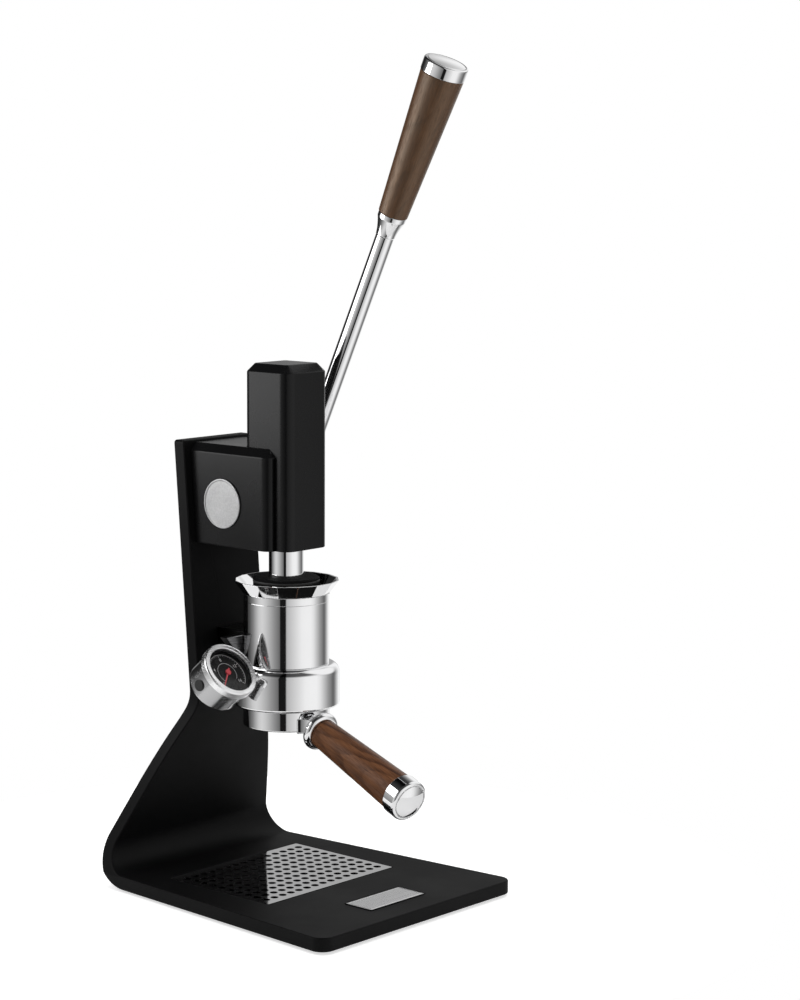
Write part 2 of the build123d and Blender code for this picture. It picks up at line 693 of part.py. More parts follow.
with BuildPart() as drive_keys:
    with BuildSketch(Plane.XY.offset(pivot_z + key_seat)):
        with Locations((gear_key_x, PIVOT_Y), (hub_key_x, PIVOT_Y)):
            Rectangle(KEY_LENGTH, KEY_WIDTH)
    extrude(amount=KEY_WIDTH)
save(drive_keys, "drive_keys")

key_room = key_seat + KEY_WIDTH + FIT
with BuildPart() as drive_gear:
    with BuildSketch(Plane.YZ.offset(-GEAR_WIDTH / 2)):
        with Locations((PIVOT_Y, pivot_z)):
            Circle(root_radius)
            with PolarLocations(0, TEETH, start_angle=180):
                Polygon(*tooth_points())
            Circle(SHAFT_RADIUS + FIT, mode=Mode.SUBTRACT)
        with Locations((PIVOT_Y, pivot_z + key_room / 2)):
            Rectangle(KEY_WIDTH + 2 * FIT, key_room, mode=Mode.SUBTRACT)
    extrude(amount=GEAR_WIDTH)
save(drive_gear, "drive_gear")

with BuildPart() as shaft_circlip:
    with BuildSketch(Plane.YZ.offset(shaft_left + CLIP_GROOVE + FIT)):
        with Locations((PIVOT_Y, pivot_z)):
            Circle(SHAFT_RADIUS - CLIP_GROOVE + CLIP_WIDTH)
            Circle(SHAFT_RADIUS - CLIP_GROOVE + FIT, mode=Mode.SUBTRACT)
            Polygon(*wedge(SHAFT_RADIUS + CLIP_WIDTH, LUG_SPAN), mode=Mode.SUBTRACT)
    extrude(amount=CLIP_SHEET - 2 * FIT)
save(shaft_circlip, "shaft_circlip")

with BuildPart() as lever_hub:
    with BuildSketch(Plane.YZ.offset(hub_start)):
        with Locations((PIVOT_Y, pivot_z)):
            Circle(HUB_RADIUS)
    extrude(amount=hub_end - hub_start)
    fillet(edges().filter_by(GeomType.CIRCLE), radius=HUB_EDGE)
    with BuildSketch(Plane.YZ.offset(hub_start)):
        with Locations((PIVOT_Y, pivot_z)):
            Circle(SHAFT_RADIUS + FIT)
        with Locations((PIVOT_Y, pivot_z + key_room / 2)):
            Rectangle(KEY_WIDTH + 2 * FIT, key_room)
    extrude(amount=hub_end - hub_start, mode=Mode.SUBTRACT)
    with BuildSketch(lever_side):
        Polygon(
            (0, LEVER_ROD_START),
            (LEVER_ROD_RADIUS + FIT, LEVER_ROD_START),
            (LEVER_ROD_RADIUS + FIT, 2 * HUB_RADIUS),
            (0, 2 * HUB_RADIUS),
        )
    revolve(axis=lever_axis, mode=Mode.SUBTRACT)
save(lever_hub, "lever_hub")

with BuildPart() as hub_washer:
    with BuildSketch(Plane.YZ.offset(hub_end)):
        with Locations((PIVOT_Y, pivot_z)):
            Circle(HUB_WASHER_RADIUS)
            Circle(HUB_SCREW_RADIUS + FIT, mode=Mode.SUBTRACT)
    extrude(amount=HUB_WASHER_SHEET)
save(hub_washer, "hub_washer")

with BuildPart() as hub_screw:
    with BuildSketch(Plane.YZ.offset(hub_end + HUB_WASHER_SHEET)):
        with Locations((PIVOT_Y, pivot_z)):
            Circle(HUB_SCREW_RADIUS)
    extrude(amount=-(hub_end + HUB_WASHER_SHEET - shaft_right + HUB_SCREW_GRIP - FACE_GAP))
    with BuildSketch(Plane.YZ.offset(hub_end + HUB_WASHER_SHEET)):
        with Locations((PIVOT_Y, pivot_z)):
            Circle(HUB_SCREW_HEAD)
    extrude(amount=HUB_SCREW_HEAD_HEIGHT)
    fillet(edges().group_by(Axis.X)[-1], radius=HUB_SCREW_HEAD_HEIGHT / 4)
    with BuildSketch(Plane.YZ.offset(hub_end + HUB_WASHER_SHEET + HUB_SCREW_HEAD_HEIGHT)):
        with Locations((PIVOT_Y, pivot_z)):
            RegularPolygon(HUB_SCREW_RADIUS, 6)
    extrude(amount=-HUB_SCREW_HEAD_HEIGHT / 2, mode=Mode.SUBTRACT)
save(hub_screw, "hub_screw")

with BuildPart() as lever_rod:
    with BuildSketch(lever_side):
        Polygon(
            (0, LEVER_ROD_START),
            (LEVER_ROD_RADIUS, LEVER_ROD_START),
            (LEVER_ROD_RADIUS, lever_rod_end),
            (0, lever_rod_end),
        )
    revolve(axis=lever_axis)
save(lever_rod, "lever_rod")

rod_room = LEVER_ROD_RADIUS + FIT
with BuildPart() as lever_ferrule:
    with BuildSketch(lever_side):
        with BuildLine():
            flare = FERRULE_LENGTH * 0.8
            Spline(
                (LEVER_ROD_RADIUS + RUN * 4, FERRULE_START),
                (FERRULE_TOP_RADIUS, FERRULE_START + flare),
                tangents=((0.15, 1), (0.15, 1)),
            )
            Polyline(
                (FERRULE_TOP_RADIUS, FERRULE_START + flare),
                (FERRULE_TOP_RADIUS, grip_start),
                (rod_room, grip_start),
                (rod_room, FERRULE_START),
                (LEVER_ROD_RADIUS + RUN * 4, FERRULE_START),
            )
        make_face()
    revolve(axis=lever_axis)
save(lever_ferrule, "lever_ferrule")

with BuildPart() as lever_grip:
    with BuildSketch(lever_side):
        Polygon(
            (rod_room, grip_start),
            (GRIP_LOW_RADIUS, grip_start),
            (GRIP_HIGH_RADIUS, grip_end),
            (rod_room, grip_end),
        )
    revolve(axis=lever_axis)
save(lever_grip, "lever_grip")

cap_face = lever_end - LEVER_CAP_DOME
with BuildPart() as lever_end_cap:
    with BuildSketch(lever_side):
        with BuildLine():
            Polyline(
                (0, lever_rod_end + FACE_GAP),
                (rod_room, lever_rod_end + FACE_GAP),
                (rod_room, grip_end),
                (LEVER_CAP_RADIUS, grip_end),
                (LEVER_CAP_RADIUS, cap_face - LEVER_CAP_EDGE),
                (LEVER_CAP_RADIUS - LEVER_CAP_EDGE, cap_face),
                (LEVER_CAP_RECESS + CAP_GROOVE, cap_face),
                (LEVER_CAP_RECESS + CAP_GROOVE, cap_face - CAP_GROOVE),
                (LEVER_CAP_RECESS, cap_face - CAP_GROOVE),
                (LEVER_CAP_RECESS, cap_face),
            )
            dome = dome_radius(LEVER_CAP_RECESS, LEVER_CAP_DOME)
            RadiusArc((LEVER_CAP_RECESS, cap_face), (0, lever_end), -dome)
            Line((0, lever_end), (0, lever_rod_end + FACE_GAP))
        make_face()
    revolve(axis=lever_axis)
save(lever_end_cap, "lever_end_cap")

# Plunger: rod with its rack, piston and seals
gap_half = tooth_pitch / 4 + BACKLASH / 2
slope = tan(radians(PRESSURE_ANGLE))
gap_root = 1.25 * MODULE + GAP / 3
rack_gap = [
    (-gap_root, -(gap_half - gap_root * slope)),
    (2 * MODULE, -(gap_half + 2 * MODULE * slope)),
    (2 * MODULE, gap_half + 2 * MODULE * slope),
    (-gap_root, gap_half - gap_root * slope),
]
rack_spots = [pivot_z + step * tooth_pitch for step in range(-RACK_GAPS_BELOW, RACK_GAPS_ABOVE + 1)]
with BuildPart() as plunger_rod:
    with BuildSketch(Plane.XY.offset(rod_bottom)):
        Circle(ROD_RADIUS)
    extrude(amount=rod_top - rod_bottom)
    chamfer(edges().group_by(Axis.Z)[-1], length=ROD_EDGE)
    with BuildSketch(Plane.YZ):
        Polygon(
            (rack_tip, rack_spots[0] - tooth_pitch / 2),
            (ROD_RADIUS + GAP, rack_spots[0] - tooth_pitch / 2),
            (ROD_RADIUS + GAP, rack_spots[-1] + tooth_pitch / 2),
            (rack_tip, rack_spots[-1] + tooth_pitch / 2),
        )
        with Locations(*[(rack_line, spot) for spot in rack_spots]):
            Polygon(*rack_gap)
    extrude(amount=ROD_RADIUS, both=True, mode=Mode.SUBTRACT)
    with BuildSketch(Plane.XY.offset(rod_bottom)):
        Circle(PISTON_SCREW_RADIUS + FIT)
    extrude(amount=PISTON_SCREW_GRIP, mode=Mode.SUBTRACT)
save(plunger_rod, "plunger_rod")

piston_radius = BORE_RADIUS - PISTON_RELIEF
seal_centre = BORE_RADIUS - RUN - SEAL_WIRE
seal_levels = [piston_bottom + PISTON_HEIGHT / 2 + side * SEAL_SPACING / 2 for side in (-1, 1)]
with BuildPart() as piston_head:
    with BuildSketch(Plane.XY.offset(piston_bottom)):
        Circle(piston_radius)
    extrude(amount=PISTON_HEIGHT)
    chamfer(edges(), length=ROD_EDGE)
    with BuildSketch(Plane.XZ):
        with Locations(*[(seal_centre, level) for level in seal_levels]):
            Circle(SEAL_WIRE + FIT)
    revolve(mode=Mode.SUBTRACT)
    with BuildSketch(Plane.XY.offset(piston_bottom)):
        Circle(PISTON_SCREW_RADIUS + FIT)
    extrude(amount=PISTON_HEIGHT, mode=Mode.SUBTRACT)
    with BuildSketch(Plane.XY.offset(piston_bottom)):
        Circle(PISTON_SCREW_HEAD + GAP)
    extrude(amount=PISTON_SCREW_HEAD_HEIGHT + FACE_GAP, mode=Mode.SUBTRACT)
save(piston_head, "piston_head")

with BuildPart() as piston_seals:
    with BuildSketch(Plane.XZ):
        with Locations(*[(seal_centre, level) for level in seal_levels]):
            Circle(SEAL_WIRE)
    revolve()
save(piston_seals, "piston_seals")

with BuildPart() as piston_screw:
    screw_seat = piston_bottom + PISTON_SCREW_HEAD_HEIGHT + FACE_GAP
    with BuildSketch(Plane.XY.offset(screw_seat)):
        Circle(PISTON_SCREW_RADIUS)
    extrude(amount=rod_bottom + PISTON_SCREW_GRIP - screw_seat - FACE_GAP)
    with BuildSketch(Plane.XY.offset(screw_seat)):
        Circle(PISTON_SCREW_HEAD)
    extrude(amount=-PISTON_SCREW_HEAD_HEIGHT)
    with BuildSketch(Plane.XY.offset(screw_seat - PISTON_SCREW_HEAD_HEIGHT)):
        RegularPolygon(PISTON_SCREW_RADIUS, 6)
    extrude(amount=PISTON_SCREW_HEAD_HEIGHT / 2, mode=Mode.SUBTRACT)
save(piston_screw, "piston_screw")

# Brew group
ledge_radius = NECK_RADIUS + GAP + 0.2
groove_radius = LUG_RADIUS + GAP + 0.1
gasket_radius = groove_radius - 1.0
with BuildPart() as group_collar:
    with BuildSketch(Plane.XZ):
        Polygon(
            (ledge_radius, collar_bottom),
            (COLLAR_RADIUS, collar_bottom),
            (COLLAR_RADIUS, collar_top),
            (SPIGOT_RADIUS, collar_top),
            (SPIGOT_RADIUS, web_top),
            (BORE_RADIUS, web_top),
            (BORE_RADIUS, web_bottom),
            (gasket_radius, web_bottom),
            (gasket_radius, gasket_bottom),
            (groove_radius, gasket_bottom),
            (groove_radius, groove_bottom),
            (ledge_radius, groove_bottom),
        )
    revolve()
    outer_edges = edges().filter_by(GeomType.CIRCLE).filter_by(lambda edge: edge.radius > COLLAR_RADIUS - FIT)
    fillet(outer_edges.sort_by(Axis.Z)[0], radius=COLLAR_EDGE)
    outer_edges = edges().filter_by(GeomType.CIRCLE).filter_by(lambda edge: edge.radius > COLLAR_RADIUS - FIT)
    fillet(outer_edges.sort_by(Axis.Z)[-1], radius=COLLAR_SHOULDER)
    with BuildSketch(Plane.XY.offset(collar_bottom)):
        with PolarLocations(0, 2, start_angle=lug_angle - LOCK_TURN):
            Polygon(*wedge(groove_radius, LUG_ENTRY_SPAN))
        Circle(groove_radius, mode=Mode.INTERSECT)
    extrude(amount=LEDGE_HEIGHT, mode=Mode.SUBTRACT)
    with BuildSketch(Plane.YZ.offset(-port_reach - COLLAR_EDGE)):
        with Locations((gauge_port.Y, gauge_port.Z)):
            Circle(NIPPLE_RADIUS + FIT)
    extrude(amount=NIPPLE_GRIP + COLLAR_EDGE, mode=Mode.SUBTRACT)
    with BuildSketch(Plane.YZ.offset(-port_reach)):
        with Locations((gauge_port.Y, gauge_port.Z)):
            Circle(NIPPLE_BORE)
    extrude(amount=port_reach - BORE_RADIUS / 2, mode=Mode.SUBTRACT)
save(group_collar, "group_collar")

with BuildPart() as group_gasket:
    with BuildSketch(Plane.XY.offset(gasket_bottom)):
        Circle(gasket_radius - FIT)
        Circle(GASKET_INNER, mode=Mode.SUBTRACT)
    extrude(amount=GASKET_HEIGHT)
save(group_gasket, "group_gasket")

with BuildPart() as shower_screen:
    with BuildSketch(Plane.XY.offset(web_bottom - SCREEN_SHEET)):
        Circle(GASKET_INNER - FIT)
        with Locations(*ring_spots(SCREEN_RINGS, SCREEN_RING_STEP)):
            Circle(SCREEN_HOLE, mode=Mode.SUBTRACT)
    extrude(amount=SCREEN_SHEET)
save(shower_screen, "shower_screen")

with BuildPart() as chamber_seal:
    with BuildSketch(Plane.XY.offset(web_top)):
        Circle(SPIGOT_RADIUS - FIT)
        Circle(BORE_RADIUS + GAP, mode=Mode.SUBTRACT)
    extrude(amount=CHAMBER_SEAL)
save(chamber_seal, "chamber_seal")

with BuildPart() as water_chamber:
    with BuildSketch(Plane.XZ):
        Polygon(
            (BORE_RADIUS, web_top + CHAMBER_SEAL),
            (SPIGOT_RADIUS - FIT, web_top + CHAMBER_SEAL),
            (SPIGOT_RADIUS - FIT, collar_top),
            (CHAMBER_RADIUS, collar_top),
            (CHAMBER_RADIUS, chamber_top),
            (SPIGOT_TOP_RADIUS, chamber_top),
            (SPIGOT_TOP_RADIUS, spigot_top),
            (BORE_RADIUS, spigot_top),
        )
    revolve()
    with BuildSketch(Plane.XZ.offset(-CHAMBER_RADIUS)):
        with Locations((-BRACKET_BOLT_X, bracket_bolt_z), (BRACKET_BOLT_X, bracket_bolt_z)):
            Circle(BOLT_RADIUS + FIT)
    extrude(amount=CHAMBER_RADIUS - bracket_bolt_end, mode=Mode.SUBTRACT)
save(water_chamber, "water_chamber")

funnel_foot = chamber_top + FUNNEL_RING
funnel_turn = 180 / FUNNEL_SIDES
with BuildPart() as pour_funnel:
    with BuildSketch(Plane.XY.offset(chamber_top)):
        Circle(CHAMBER_RADIUS)
    extrude(amount=FUNNEL_RING)
    with BuildSketch(Plane.XY.offset(funnel_foot)):
        RegularPolygon(FUNNEL_FOOT_RADIUS, FUNNEL_SIDES, rotation=funnel_turn)
    with BuildSketch(Plane.XY.offset(funnel_rim)):
        RegularPolygon(FUNNEL_RIM_RADIUS, FUNNEL_SIDES, rotation=funnel_turn)
    loft(ruled=True)
    with BuildSketch(Plane.XY.offset(funnel_foot)):
        RegularPolygon(SPIGOT_TOP_RADIUS + FUNNEL_WALL, FUNNEL_SIDES, rotation=funnel_turn)
    with BuildSketch(Plane.XY.offset(funnel_rim)):
        RegularPolygon(FUNNEL_RIM_RADIUS - FUNNEL_WALL, FUNNEL_SIDES, rotation=funnel_turn)
    loft(ruled=True, mode=Mode.SUBTRACT)
    with BuildSketch(Plane.XY.offset(chamber_top)):
        Circle(SPIGOT_TOP_RADIUS + FIT)
    extrude(amount=FUNNEL_RING, mode=Mode.SUBTRACT)
save(pour_funnel, "pour_funnel")

with BuildPart() as group_bracket:
    corner_half = BRACKET_HALF - BRACKET_CUT
    with BuildSketch(Plane.XZ.offset(-BRACKET_FRONT)):
        Polygon(
            (-corner_half, bracket_bottom),
            (corner_half, bracket_bottom),
            (BRACKET_HALF, bracket_top - BRACKET_EDGE),
            (BRACKET_HALF, bracket_top),
            (-BRACKET_HALF, bracket_top),
            (-BRACKET_HALF, bracket_top - BRACKET_EDGE),
        )
    extrude(amount=-BRACKET_PLATE)
    with BuildSketch(Plane.YZ):
        Polygon(
            (BRACKET_FRONT, bracket_bottom),
            (upright_front(bracket_bottom), bracket_bottom),
            (upright_front(bracket_top), bracket_top),
            (BRACKET_FRONT, bracket_top),
        )
    extrude(amount=BRACKET_ARM_HALF, both=True)
    with BuildSketch(Plane.XY.offset(bracket_bottom)):
        Circle(CHAMBER_RADIUS + FIT)
    extrude(amount=BRACKET_HEIGHT, mode=Mode.SUBTRACT)
    with BuildSketch(Plane.XZ.offset(-back_clear)):
        with Locations((-BRACKET_BOLT_X, bracket_bolt_z), (BRACKET_BOLT_X, bracket_bolt_z)):
            Circle(BOLT_RADIUS + FIT)
    extrude(amount=back_clear - BRACKET_FRONT, mode=Mode.SUBTRACT)
save(group_bracket, "group_bracket")

with BuildPart() as bracket_bolts:
    for side in (-BRACKET_BOLT_X, BRACKET_BOLT_X):
        with BuildSketch(Plane.XZ.offset(-bolt_seat(bracket_bolt_z))):
            with Locations((side, bracket_bolt_z)):
                Circle(BOLT_RADIUS)
        extrude(amount=bolt_seat(bracket_bolt_z) - bracket_bolt_end - FACE_GAP)
        with BuildSketch(Plane.XZ.offset(-bolt_seat(bracket_bolt_z))):
            with Locations((side, bracket_bolt_z)):
                Circle(BOLT_HEAD_RADIUS)
        extrude(amount=-BOLT_HEAD_HEIGHT)
        with BuildSketch(Plane.XZ.offset(-bolt_seat(bracket_bolt_z) - BOLT_HEAD_HEIGHT)):
            with Locations((side, bracket_bolt_z)):
                RegularPolygon(BOLT_SOCKET, 6)
        extrude(amount=BOLT_SOCKET_DEPTH, mode=Mode.SUBTRACT)
save(bracket_bolts, "bracket_bolts")

# Portafilter
body_bore = BASKET_RADIUS + BODY_WALL_GAP
lug_bottom = groove_bottom + GAP
spring_radius = BASKET_RADIUS + SPRING_WIRE + FACE_GAP
droop = radians(HANDLE_DROOP)
stud_start = (body_bore + 2 * BODY_WALL_GAP) / cos(droop) + STUD_RADIUS * tan(droop)
stud_room = STUD_RADIUS + FIT
spring_level = portafilter_top - SPRING_DROP
with BuildPart() as portafilter_body:
    with BuildSketch(Plane.XZ):
        Polygon(
            (body_bore, portafilter_bottom),
            (PORTAFILTER_RADIUS, portafilter_bottom),
            (PORTAFILTER_RADIUS, portafilter_shoulder),
            (NECK_RADIUS, portafilter_shoulder),
            (NECK_RADIUS, portafilter_top),
            (body_bore, portafilter_top),
        )
    revolve()
    body_rims = edges().filter_by(GeomType.CIRCLE).filter_by(lambda edge: edge.radius > NECK_RADIUS + FIT)
    fillet(body_rims, radius=PORTAFILTER_EDGE)
    with BuildSketch(Plane.XY.offset(lug_bottom)):
        with PolarLocations(0, 2, start_angle=lug_angle):
            Polygon(*wedge(LUG_RADIUS, LUG_SPAN))
        Circle(LUG_RADIUS, mode=Mode.INTERSECT)
        Circle((body_bore + NECK_RADIUS) / 2, mode=Mode.SUBTRACT)
    extrude(amount=LUG_HEIGHT)
    with BuildSketch(Plane.XZ):
        with Locations((spring_radius, spring_level)):
            Circle(SPRING_WIRE + FACE_GAP)
    revolve(mode=Mode.SUBTRACT)
    with BuildSketch(handle_side):
        Polygon(
            (0, stud_start - FACE_GAP),
            (stud_room, stud_start - FACE_GAP),
            (stud_room, HANDLE_FERRULE_START),
            (0, HANDLE_FERRULE_START),
        )
    revolve(axis=handle_axis, mode=Mode.SUBTRACT)
save(portafilter_body, "portafilter_body")

basket_floor = basket_rim_top - BASKET_DEPTH
basket_inner = BASKET_RADIUS - BASKET_WALL
with BuildPart() as filter_basket:
    with BuildSketch(Plane.XZ):
        Polygon(
            (0, basket_floor),
            (BASKET_RADIUS, basket_floor),
            (BASKET_RADIUS, portafilter_top),
            (BASKET_RIM, portafilter_top),
            (BASKET_RIM, basket_rim_top),
            (basket_inner, basket_rim_top),
            (basket_inner, basket_floor + BASKET_WALL),
            (0, basket_floor + BASKET_WALL),
        )
    revolve()
    with BuildSketch(Plane.XY.offset(basket_floor)):
        with Locations(*ring_spots(BASKET_RINGS, BASKET_RING_STEP)):
            Circle(BASKET_HOLE)
    extrude(amount=BASKET_WALL, mode=Mode.SUBTRACT)
save(filter_basket, "filter_basket")

with BuildPart() as basket_spring:
    with BuildSketch(Plane.XZ):
        with Locations((spring_radius, spring_level)):
            Circle(SPRING_WIRE)
    revolve(revolution_arc=SPRING_SPAN)
save(basket_spring, "basket_spring")

neck_floor = portafilter_bottom - HANDLE_NECK_LAND
neck_reach = HANDLE_FERRULE_START * cos(droop)
neck_start = sqrt(PORTAFILTER_RADIUS**2 - HANDLE_NECK_SPREAD**2)
neck_end = neck_reach + HANDLE_NECK_HALF
neck_height = handle_z - HANDLE_FERRULE_START * sin(droop) + HANDLE_NECK_HALF - neck_floor
neck_plan = Plane(origin=(0, 0, neck_floor), x_dir=handle_level, z_dir=(0, 0, 1))
with BuildPart() as handle_neck:
    with BuildSketch(neck_plan):
        with BuildLine():
            Polyline((0, 0), (0, HANDLE_NECK_SPREAD), (neck_start, HANDLE_NECK_SPREAD))
            RadiusArc((neck_start, HANDLE_NECK_SPREAD), (neck_reach, HANDLE_NECK_HALF), -HANDLE_NECK_FLARE)
            Polyline((neck_reach, HANDLE_NECK_HALF), (neck_end, HANDLE_NECK_HALF), (neck_end, 0))
            mirror(about=Plane.XZ)
        make_face()
    extrude(amount=neck_height)
    with BuildSketch(handle_side):
        Polygon(
            (0, HANDLE_FERRULE_START),
            (2 * HANDLE_FERRULE_RADIUS, HANDLE_FERRULE_START),
            (2 * HANDLE_FERRULE_RADIUS, handle_grip_end),
            (0, handle_grip_end),
        )
    revolve(axis=handle_axis, mode=Mode.SUBTRACT)
    with BuildSketch(Plane.XY):
        Circle(PORTAFILTER_RADIUS + FIT)
    extrude(amount=collar_top, mode=Mode.SUBTRACT)
    with BuildSketch(handle_side):
        Polygon((0, 0), (stud_room, 0), (stud_room, handle_grip_start), (0, handle_grip_start))
    revolve(axis=handle_axis, mode=Mode.SUBTRACT)
save(handle_neck, "handle_neck")

with BuildPart() as handle_ferrule:
    with BuildSketch(handle_side):
        Polygon(
            (stud_room, HANDLE_FERRULE_START),
            (HANDLE_FERRULE_RADIUS, HANDLE_FERRULE_START),
            (HANDLE_FERRULE_RADIUS, handle_grip_start),
            (stud_room, handle_grip_start),
        )
        fillet(vertices().group_by(Axis.X)[-1], radius=HANDLE_FERRULE_EDGE)
    revolve(axis=handle_axis)
save(handle_ferrule, "handle_ferrule")

stud_end = handle_grip_end + HANDLE_CAP_LENGTH / 2
with BuildPart() as handle_stud:
    with BuildSketch(handle_side):
        Polygon((0, stud_start), (STUD_RADIUS, stud_start), (STUD_RADIUS, stud_end), (0, stud_end))
    revolve(axis=handle_axis)
save(handle_stud, "handle_stud")

with BuildPart() as handle_grip:
    with BuildSketch(handle_side):
        Polygon(
            (stud_room, handle_grip_start),
            (HANDLE_GRIP_LOW, handle_grip_start),
            (HANDLE_GRIP_HIGH, handle_grip_end),
            (stud_room, handle_grip_end),
        )
    revolve(axis=handle_axis)
save(handle_grip, "handle_grip")

handle_cap_face = handle_end - HANDLE_CAP_DOME
with BuildPart() as handle_end_cap:
    with BuildSketch(handle_side):
        with BuildLine():
            FilletPolyline(
                (stud_room, handle_grip_end),
                (HANDLE_CAP_RADIUS, handle_grip_end),
                (HANDLE_CAP_RADIUS, handle_cap_face),
                (HANDLE_CAP_RECESS + CAP_GROOVE, handle_cap_face),
                radius=(CAP_GROOVE / 2, HANDLE_CAP_EDGE),
            )
            Polyline(
                (HANDLE_CAP_RECESS + CAP_GROOVE, handle_cap_face),
                (HANDLE_CAP_RECESS + CAP_GROOVE, handle_cap_face - CAP_GROOVE),
                (HANDLE_CAP_RECESS, handle_cap_face - CAP_GROOVE),
                (HANDLE_CAP_RECESS, handle_cap_face),
            )
            dome = dome_radius(HANDLE_CAP_RECESS, HANDLE_CAP_DOME)
            RadiusArc((HANDLE_CAP_RECESS, handle_cap_face), (0, handle_end), -dome)
            Polyline(
                (0, handle_end),
                (0, stud_end + FACE_GAP),
                (stud_room, stud_end + FACE_GAP),
                (stud_room, handle_grip_end),
            )
        make_face()
    revolve(axis=handle_axis)
save(handle_end_cap, "handle_end_cap")

# Pressure gauge
gauge_inner = GAUGE_RADIUS - GAUGE_WALL
plug_end = housing_left - PLUG_PROUD
with BuildPart() as gauge_housing:
    with BuildSketch(gauge_face.offset(-GAUGE_DEPTH)):
        Circle(GAUGE_RADIUS)
    extrude(amount=GAUGE_DEPTH + housing_front)
    rims = edges().filter_by(GeomType.CIRCLE).sort_by(gauge_axis)
    fillet(rims[0], radius=GAUGE_WALL)
    with BuildSketch(gauge_face.offset(movement_back)):
        Circle(gauge_inner - DIAL_LEDGE)
    extrude(amount=GAUGE_DEPTH, mode=Mode.SUBTRACT)
    with BuildSketch(gauge_face.offset(movement_back)):
        Circle(gauge_inner)
    extrude(amount=movement_front - DIAL_LEDGE - movement_back, mode=Mode.SUBTRACT)
    with BuildSketch(gauge_face.offset(movement_front)):
        Circle(gauge_inner)
    extrude(amount=GAUGE_DEPTH, mode=Mode.SUBTRACT)
    with BuildSketch(Plane.YZ.offset(GAUGE_X)):
        with Locations((gauge_port.Y, gauge_port.Z)):
            Circle(NIPPLE_RADIUS + FIT)
    extrude(amount=GAUGE_RADIUS + GAP, mode=Mode.SUBTRACT)
    with BuildSketch(Plane.YZ.offset(GAUGE_X)):
        with Locations((gauge_port.Y, gauge_port.Z)):
            Circle(PLUG_RADIUS + FIT)
    extrude(amount=-GAUGE_RADIUS - GAP, mode=Mode.SUBTRACT)
save(gauge_housing, "gauge_housing")

with BuildPart() as gauge_bezel:
    with BuildSketch(gauge_face.offset(-BEZEL_SKIRT)):
        Circle(BEZEL_RADIUS)
    extrude(amount=BEZEL_SKIRT + BEZEL_LIP_SHEET)
    rims = edges().filter_by(GeomType.CIRCLE).sort_by(gauge_axis)
    fillet(rims[-1], radius=BEZEL_EDGE)
    with BuildSketch(gauge_face.offset(-BEZEL_SKIRT)):
        Circle(GAUGE_RADIUS + FIT)
    extrude(amount=BEZEL_SKIRT, mode=Mode.SUBTRACT)
    with BuildSketch(gauge_face):
        Circle(BEZEL_LIP)
    extrude(amount=BEZEL_LIP_SHEET, taper=-20, mode=Mode.SUBTRACT)
save(gauge_bezel, "gauge_bezel")

with BuildPart() as gauge_lens:
    with BuildSketch(gauge_face.offset(-LENS_SHEET)):
        Circle(LENS_RADIUS)
    extrude(amount=LENS_SHEET)
save(gauge_lens, "gauge_lens")

with BuildPart() as gauge_dial:
    with BuildSketch(gauge_face.offset(movement_front)):
        Circle(DIAL_RADIUS)
        Circle(ARBOR_RADIUS + GAP, mode=Mode.SUBTRACT)
    extrude(amount=DIAL_SHEET)
save(gauge_dial, "gauge_dial")

needle_back = -DIAL_DEPTH + NEEDLE_LIFT
with BuildPart() as gauge_needle:
    with BuildSketch(gauge_face.offset(needle_back)):
        with Locations(Rotation(0, 0, NEEDLE_REST)):
            Polygon(
                (-NEEDLE_TAIL, -NEEDLE_HALF),
                (0, -NEEDLE_HALF),
                (NEEDLE_LENGTH, -NEEDLE_HALF / 3),
                (NEEDLE_LENGTH, NEEDLE_HALF / 3),
                (0, NEEDLE_HALF),
                (-NEEDLE_TAIL, NEEDLE_HALF),
            )
        Circle(NEEDLE_HUB)
    extrude(amount=NEEDLE_SHEET)
    with BuildSketch(gauge_face.offset(needle_back + NEEDLE_SHEET)):
        Circle(NEEDLE_HUB)
    extrude(amount=NEEDLE_SHEET)
    with BuildSketch(gauge_face.offset(needle_back)):
        Circle(ARBOR_RADIUS)
    extrude(amount=-(needle_back - movement_front + MOVEMENT_RADIUS / 2))
save(gauge_needle, "gauge_needle")

with BuildPart() as gauge_movement:
    with BuildSketch(gauge_face.offset(movement_back)):
        Circle(MOVEMENT_RADIUS)
    extrude(amount=movement_front - GAP - movement_back)
    with BuildSketch(gauge_face.offset(movement_front - GAP)):
        Circle(ARBOR_RADIUS + RUN)
    extrude(amount=-MOVEMENT_RADIUS / 2, mode=Mode.SUBTRACT)
    with BuildSketch(Plane.YZ.offset(nipple_end)):
        with Locations((gauge_port.Y, gauge_port.Z)):
            Circle(NIPPLE_RADIUS + FIT)
    extrude(amount=MOVEMENT_RADIUS, mode=Mode.SUBTRACT)
save(gauge_movement, "gauge_movement")

with BuildPart() as gauge_nipple:
    with BuildSketch(Plane.YZ.offset(nipple_end)):
        with Locations((gauge_port.Y, gauge_port.Z)):
            Circle(NIPPLE_RADIUS)
    extrude(amount=-port_reach + NIPPLE_GRIP - FACE_GAP - nipple_end)
    with BuildSketch(Plane.YZ.offset(housing_right + FACE_GAP)):
        with Locations((gauge_port.Y, gauge_port.Z)):
            Circle(NIPPLE_FLANGE)
    extrude(amount=NIPPLE_FLANGE_SHEET)
    with BuildSketch(Plane.YZ.offset(nipple_end)):
        with Locations((gauge_port.Y, gauge_port.Z)):
            Circle(NIPPLE_BORE)
    extrude(amount=port_reach, mode=Mode.SUBTRACT)
save(gauge_nipple, "gauge_nipple")

with BuildPart() as gauge_vent_plug:
    with BuildSketch(Plane.YZ.offset(plug_end)):
        with Locations((gauge_port.Y, gauge_port.Z)):
            Circle(PLUG_RADIUS)
    extrude(amount=PLUG_LENGTH)
    fillet(edges().group_by(Axis.X)[0], radius=PLUG_PROUD / 2)
save(gauge_vent_plug, "gauge_vent_plug")
